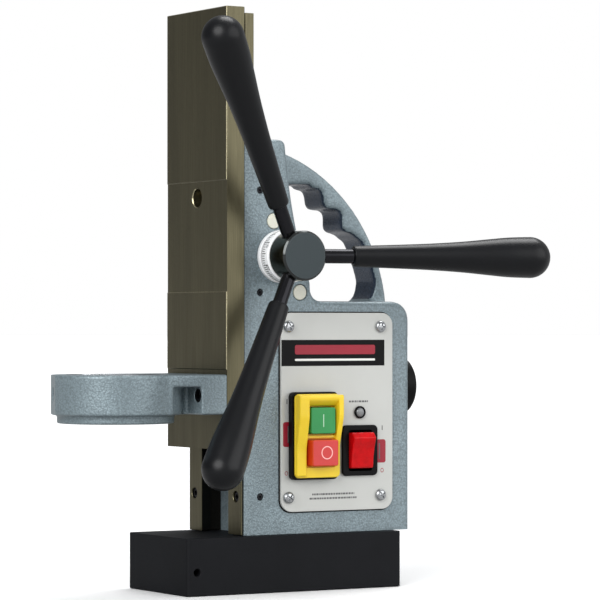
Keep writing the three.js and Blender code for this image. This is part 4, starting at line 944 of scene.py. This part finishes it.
low, high = corners_of("drill_collar")
CX, RADIUS, BORE, LOWER, RING_R = COLLAR_AXIS[0], 42.5, 31, 114.5, 37.3
ROOT, POCKET_X, POCKET_ROOF, POCKET_IN, LUG_HALF = -69, -89.5, 132.2, 20, 39.3
CLAMP_TURN, CLAMP_AT = radians(159), 39.9
parts = [rod(RADIUS, LOWER, high.z, Z, COLLAR_AXIS, 1.0, 120),
         rod(RING_R, low.z, LOWER + 3, Z, COLLAR_AXIS, 0.8, 120),
         block(ROOT, high.x + 6, -LUG_HALF, LUG_HALF, LOWER, high.z, 1.0),
         block(CX, ROOT + 3, -LUG_HALF, LUG_HALF, POCKET_ROOF, high.z, 1.0),
         block(CX, ROOT + 3, -POCKET_IN, POCKET_IN, LOWER, high.z - 2, 1.0),
         block(CX, POCKET_X, -LUG_HALF, LUG_HALF, LOWER, high.z, 1.0)]
whole = bmesh.new()
for part in parts:
    whole.from_mesh(part.data)
    bpy.data.objects.remove(part)
casting = modified(fused(solid(whole), 0.8), "SMOOTH", factor=0.5, iterations=4)
flat = block(CLAMP_AT, RADIUS + 8, -30, 30, LOWER - 0.2, high.z + 4)
flat.data.transform(Matrix.Translation((CX, 0, 0)) @ Matrix.Rotation(CLAMP_TURN, 4, "Z"))
clamp = Vector((cos(CLAMP_TURN), sin(CLAMP_TURN), 0))
centre = Vector((CX, 0, (LOWER + high.z) / 2))
bore_edge = [(0, high.z - 0.6), (BORE, high.z - 0.6), (BORE + 3, high.z + 2.4), (0, high.z + 2.4)]
cutters = [rod(BORE, low.z - 4, high.z + 4, Z, COLLAR_AXIS, 0, 140), flat,
           drill(centre + clamp * CLAMP_AT, -clamp, 5, 16, 0.3), turned(bore_edge, Z, COLLAR_AXIS, 140),
           block(high.x, high.x + 20, -60, 60, 90, 160)]
for y, z in COLLAR_SCREWS:
    cutters.append(rod(SCREW_CLEAR, ROOT - 2, high.x + 2, X, (0, y, z)))
    cutters.append(drill((ROOT, y, z), X, 4.55, 5.6, 0.3))
eye = stands_for(cut(casting, *cutters), "drill_collar", angle=38)
repaint(eye, EXTRA["machined_bore"],
        lambda c, n: (c.x - CX) ** 2 + c.y ** 2 < (BORE + 0.5) ** 2 and abs(n.z) < 0.9)
for i, (y, z) in enumerate(COLLAR_SCREWS):
    socket_screw(f"collar_screw_{i + 1}", X, 4.25, 5, 2.5, 27.7, 2.4, (ROOT + GAP, y, z))
clamp_screw = rod(4.8, 1.2 - CLAMP_AT, -33, -clamp, centre, 0.5, 40)
socket = turned([(0, -1 - CLAMP_AT), (2.4, -1 - CLAMP_AT), (2.4, 5 - CLAMP_AT), (0, 5.6 - CLAMP_AT)], -clamp,
                centre, 6)
finished(cut(clamp_screw, socket), "clamp_set_screw", "slide", "black_steel")

# ---------------------------------------------------------------- feed drive

FX, FZ = FEED_AXIS.x, FEED_AXIS.z
AXIS, SHAFT_HOLE = (FX, 0, FZ), 5.25
stands_for(refined("pinion_shaft", 0.15), "pinion_shaft")
stands_for(refined("shaft_clip", 0.15), "shaft_clip")
low, high = corners_of("pinion_bush_near")
profile = softened([(SHAFT_HOLE, low.y), (16.4, low.y), (17, low.y + 0.6), (17, -HALF - GAP),
                    (9, -HALF - GAP), (9, high.y), (SHAFT_HOLE, high.y)], 0.25)
stands_for(turned(profile, Y, AXIS, 96), "pinion_bush_near")
low, high = corners_of("pinion_bush_far")
profile = softened([(SHAFT_HOLE, low.y), (8, low.y), (8, high.y), (SHAFT_HOLE, high.y)], 0.3)
stands_for(turned(profile, Y, AXIS, 72), "pinion_bush_far")

low, high = corners_of("graduated_dial")
DIAL_R, DIAL_HOLE, DIVISIONS, GROOVE, GROOVE_R = 17, 10.4, 72, high.y - 1.1, 15.8
profile = softened([(DIAL_HOLE, low.y), (16.2, low.y), (DIAL_R, low.y + 0.8), (DIAL_R, GROOVE),
                    (GROOVE_R, GROOVE), (GROOVE_R, high.y), (DIAL_HOLE, high.y)], 0.15)
dial = stands_for(turned(profile, Y, AXIS, 120), "graduated_dial")
repaint(dial, EXTRA["shadow_gap"], lambda c, n: c.y > GROOVE)


def wrapped(u0, u1, v0, v1):
    """A printed patch on the dial's rim: u goes round it in millimetres and v along it towards +Y."""
    outline = ((u0, v0), (u1, v0), (u1, v1), (u0, v1))
    return between(*[[(FX + radius * cos(u / DIAL_R), v, FZ + radius * sin(u / DIAL_R)) for u, v in outline]
                     for radius in (DIAL_R - 0.05, DIAL_R + 0.05)])


SEGMENTS = {"top": ((0, 1), (1, 1)), "mid": ((0, 0.5), (1, 0.5)), "low": ((0, 0), (1, 0)),
            "tl": ((0, 0.5), (0, 1)), "tr": ((1, 0.5), (1, 1)), "bl": ((0, 0), (0, 0.5)),
            "br": ((1, 0), (1, 0.5))}
DIGITS = ["top low tl tr bl br", "tr br", "top tr mid bl low", "top tr mid br low", "tl mid tr br",
          "top tl mid br low", "top tl mid bl br low", "top tr br", "top mid low tl tr bl br",
          "top tl tr mid br low"]
DIGIT_WIDE, DIGIT_HIGH, DIGIT_STEP, STROKE, DIGIT_V = 1.1, 2.0, 1.7, 0.13, low.y + 3.6
marks = []
for k in range(DIVISIONS):
    reach, half = (5.2, 0.3) if k % 10 == 0 else (4.0, 0.26) if k % 5 == 0 else (2.8, 0.22)
    at, back = k * (2 * pi * DIAL_R / DIVISIONS), GROOVE - 0.1
    marks.append(wrapped(at - half, at + half, back - reach, back))
    for j, digit in enumerate("" if k % 10 else str(k // 2)):
        left = at + 0.5 + j * DIGIT_STEP
        for segment in DIGITS[int(digit)].split():
            (u0, v0), (u1, v1) = SEGMENTS[segment]
            marks.append(wrapped(left + u0 * DIGIT_WIDE - STROKE, left + u1 * DIGIT_WIDE + STROKE,
                                 DIGIT_V - v1 * DIGIT_HIGH - STROKE, DIGIT_V - v0 * DIGIT_HIGH + STROKE))
finished(gathered(marks), "dial_marks", "dial", "dial_silver", EXTRA["print_black"])

low, high = corners_of("feed_hub")
HUB_R, HUB_BACK, EDGE, SPLAY = 16, -48, 1.2, radians(15)
SPOKES_FROM, SPIGOT = (FX, -54, FZ), 10
hub_line = [(0, low.y), (HUB_R - EDGE, low.y), (HUB_R, low.y + EDGE), (HUB_R, HUB_BACK), (SPIGOT, HUB_BACK),
            (SPIGOT, high.y), (0, high.y)]
hub = turned(softened(hub_line, 0.25, False), Y, AXIS, 128)
cutters = [rod(5.3, -61, high.y + 1, Y, AXIS)]
ROD_R, ROD_START, ROD_END, GRIP_START, GRIP_END, BALL = 4.6, 9.6, 62, 38, 172, 13.4


def spoke_direction(index):
    """Where a spoke points: a third of a turn from the last, and tilted towards the user."""
    around = index * 2 * pi / 3
    return Vector((cos(SPLAY) * cos(around), -sin(SPLAY), cos(SPLAY) * sin(around)))


for k in range(3):
    cutters.append(rod(ROD_R + GAP, ROD_START - 1, 30, spoke_direction(k), SPOKES_FROM))
hub = stands_for(cut(hub, *cutters), "feed_hub", angle=38)
repaint(hub, EXTRA["hub_side"], lambda c, n: c.y > low.y + EDGE * 1.05)
repaint(hub, EXTRA["hub_rim"], lambda c, n: c.y <= low.y + EDGE * 1.05 and 0.2 < -n.y < 0.97)

grip_line = [(0, ROD_END + 2), (ROD_R + GAP, ROD_END + 2), (ROD_R + GAP, GRIP_START), (5.9, GRIP_START),
             (6.5, GRIP_START + 0.35), (6.75, GRIP_START + 1.0)]
swell = ((6.8, 2), (7.1, 12), (7.7, 30), (8.6, 52), (10, 74), (11.7, 92), (12.95, 106))
grip_line += flowing([(r, GRIP_START + along) for r, along in swell] + [(BALL, GRIP_END - BALL)])
ball_turns = [radians(7.5 * k) for k in range(1, 12)]
grip_line += [(BALL * cos(a), GRIP_END - BALL + BALL * sin(a)) for a in ball_turns] + [(0, GRIP_END)]
for k in range(3):
    stands_for(rod(ROD_R, ROD_START, ROD_END, spoke_direction(k), SPOKES_FROM, 0.5, 56), f"spoke_rod_{k + 1}")
    stands_for(turned(grip_line, spoke_direction(k), SPOKES_FROM, 88), f"feed_grip_{k + 1}")

# ---------------------------------------------------------------- floor and light

FLOOR_BOUNCE, FLOOR_SEEN = 0.42, 0.96  # lightness for bounced light, and as the camera sees it
AMBIENT_BEHIND, AMBIENT_FRONT = 0.2, 0.66  # strength of the sky behind the object and in front of its panel
PANEL_FRONT = (0.51, -0.86, 0.0)

bpy.ops.mesh.primitive_circle_add(vertices=96, radius=60, fill_type="NGON", location=(0, 0, -0.0002))
floor = bpy.context.object
floor.name = "floor"
pale = bpy.data.materials.new("floor")
pale.use_nodes = True
tree = pale.node_tree
matt = tree.nodes["Principled BSDF"]
greys = {6: (*(FLOOR_BOUNCE,) * 3, 1), 7: (*(FLOOR_SEEN,) * 3, 1)}
camera_ray = node_in(tree, "ShaderNodeLightPath").outputs["Is Camera Ray"]
seen = node_in(tree, "ShaderNodeMix", {0: camera_ray, **greys}, data_type="RGBA").outputs[2]
tree.links.new(seen, matt.inputs["Base Color"])
matt.inputs["Roughness"].default_value = 0.9
floor.data.materials.append(pale)

world = bpy.data.worlds.new("studio")
scene.world = world
world.use_nodes = True
tree = world.node_tree
ambient = tree.nodes["Background"]
ambient.inputs["Color"].default_value = (0.96, 0.98, 1.0, 1)
heading = node_in(tree, "ShaderNodeTexCoord").outputs["Generated"]
facing = node_in(tree, "ShaderNodeVectorMath", {0: heading, 1: PANEL_FRONT}, operation="DOT_PRODUCT")
fade = node_in(tree, "ShaderNodeMapRange", {"Value": facing.outputs["Value"], "From Min": -1,
                                            "To Min": AMBIENT_BEHIND, "To Max": AMBIENT_FRONT})
tree.links.new(fade.outputs["Result"], ambient.inputs["Strength"])
backdrop = node_in(tree, "ShaderNodeBackground", {"Color": (1, 1, 1, 1), "Strength": 1.0})
camera_ray = node_in(tree, "ShaderNodeLightPath").outputs["Is Camera Ray"]
choose = node_in(tree, "ShaderNodeMixShader", {0: camera_ray, 1: ambient.outputs[0], 2: backdrop.outputs[0]})
tree.links.new(choose.outputs[0], tree.nodes["World Output"].inputs["Surface"])

# broad, soft, distant lights, each from a direction
for name, towards, strength, angle in (("light_left", (-0.8, -0.5, 0.5), 2.5, 45),
                                       ("light_right", (0.55, -0.85, 0.3), 1.25, 60),
                                       ("light_top", (0.35, 0.25, 0.9), 1.7, 35)):
    light = bpy.data.lights.new(name, "SUN")
    light.energy = strength
    light.angle = radians(angle)
    lamp = bpy.data.objects.new(name, light)
    lamp.rotation_mode = "QUATERNION"
    lamp.rotation_quaternion = Vector(towards).to_track_quat("Z", "Y")
    scene.collection.objects.link(lamp)
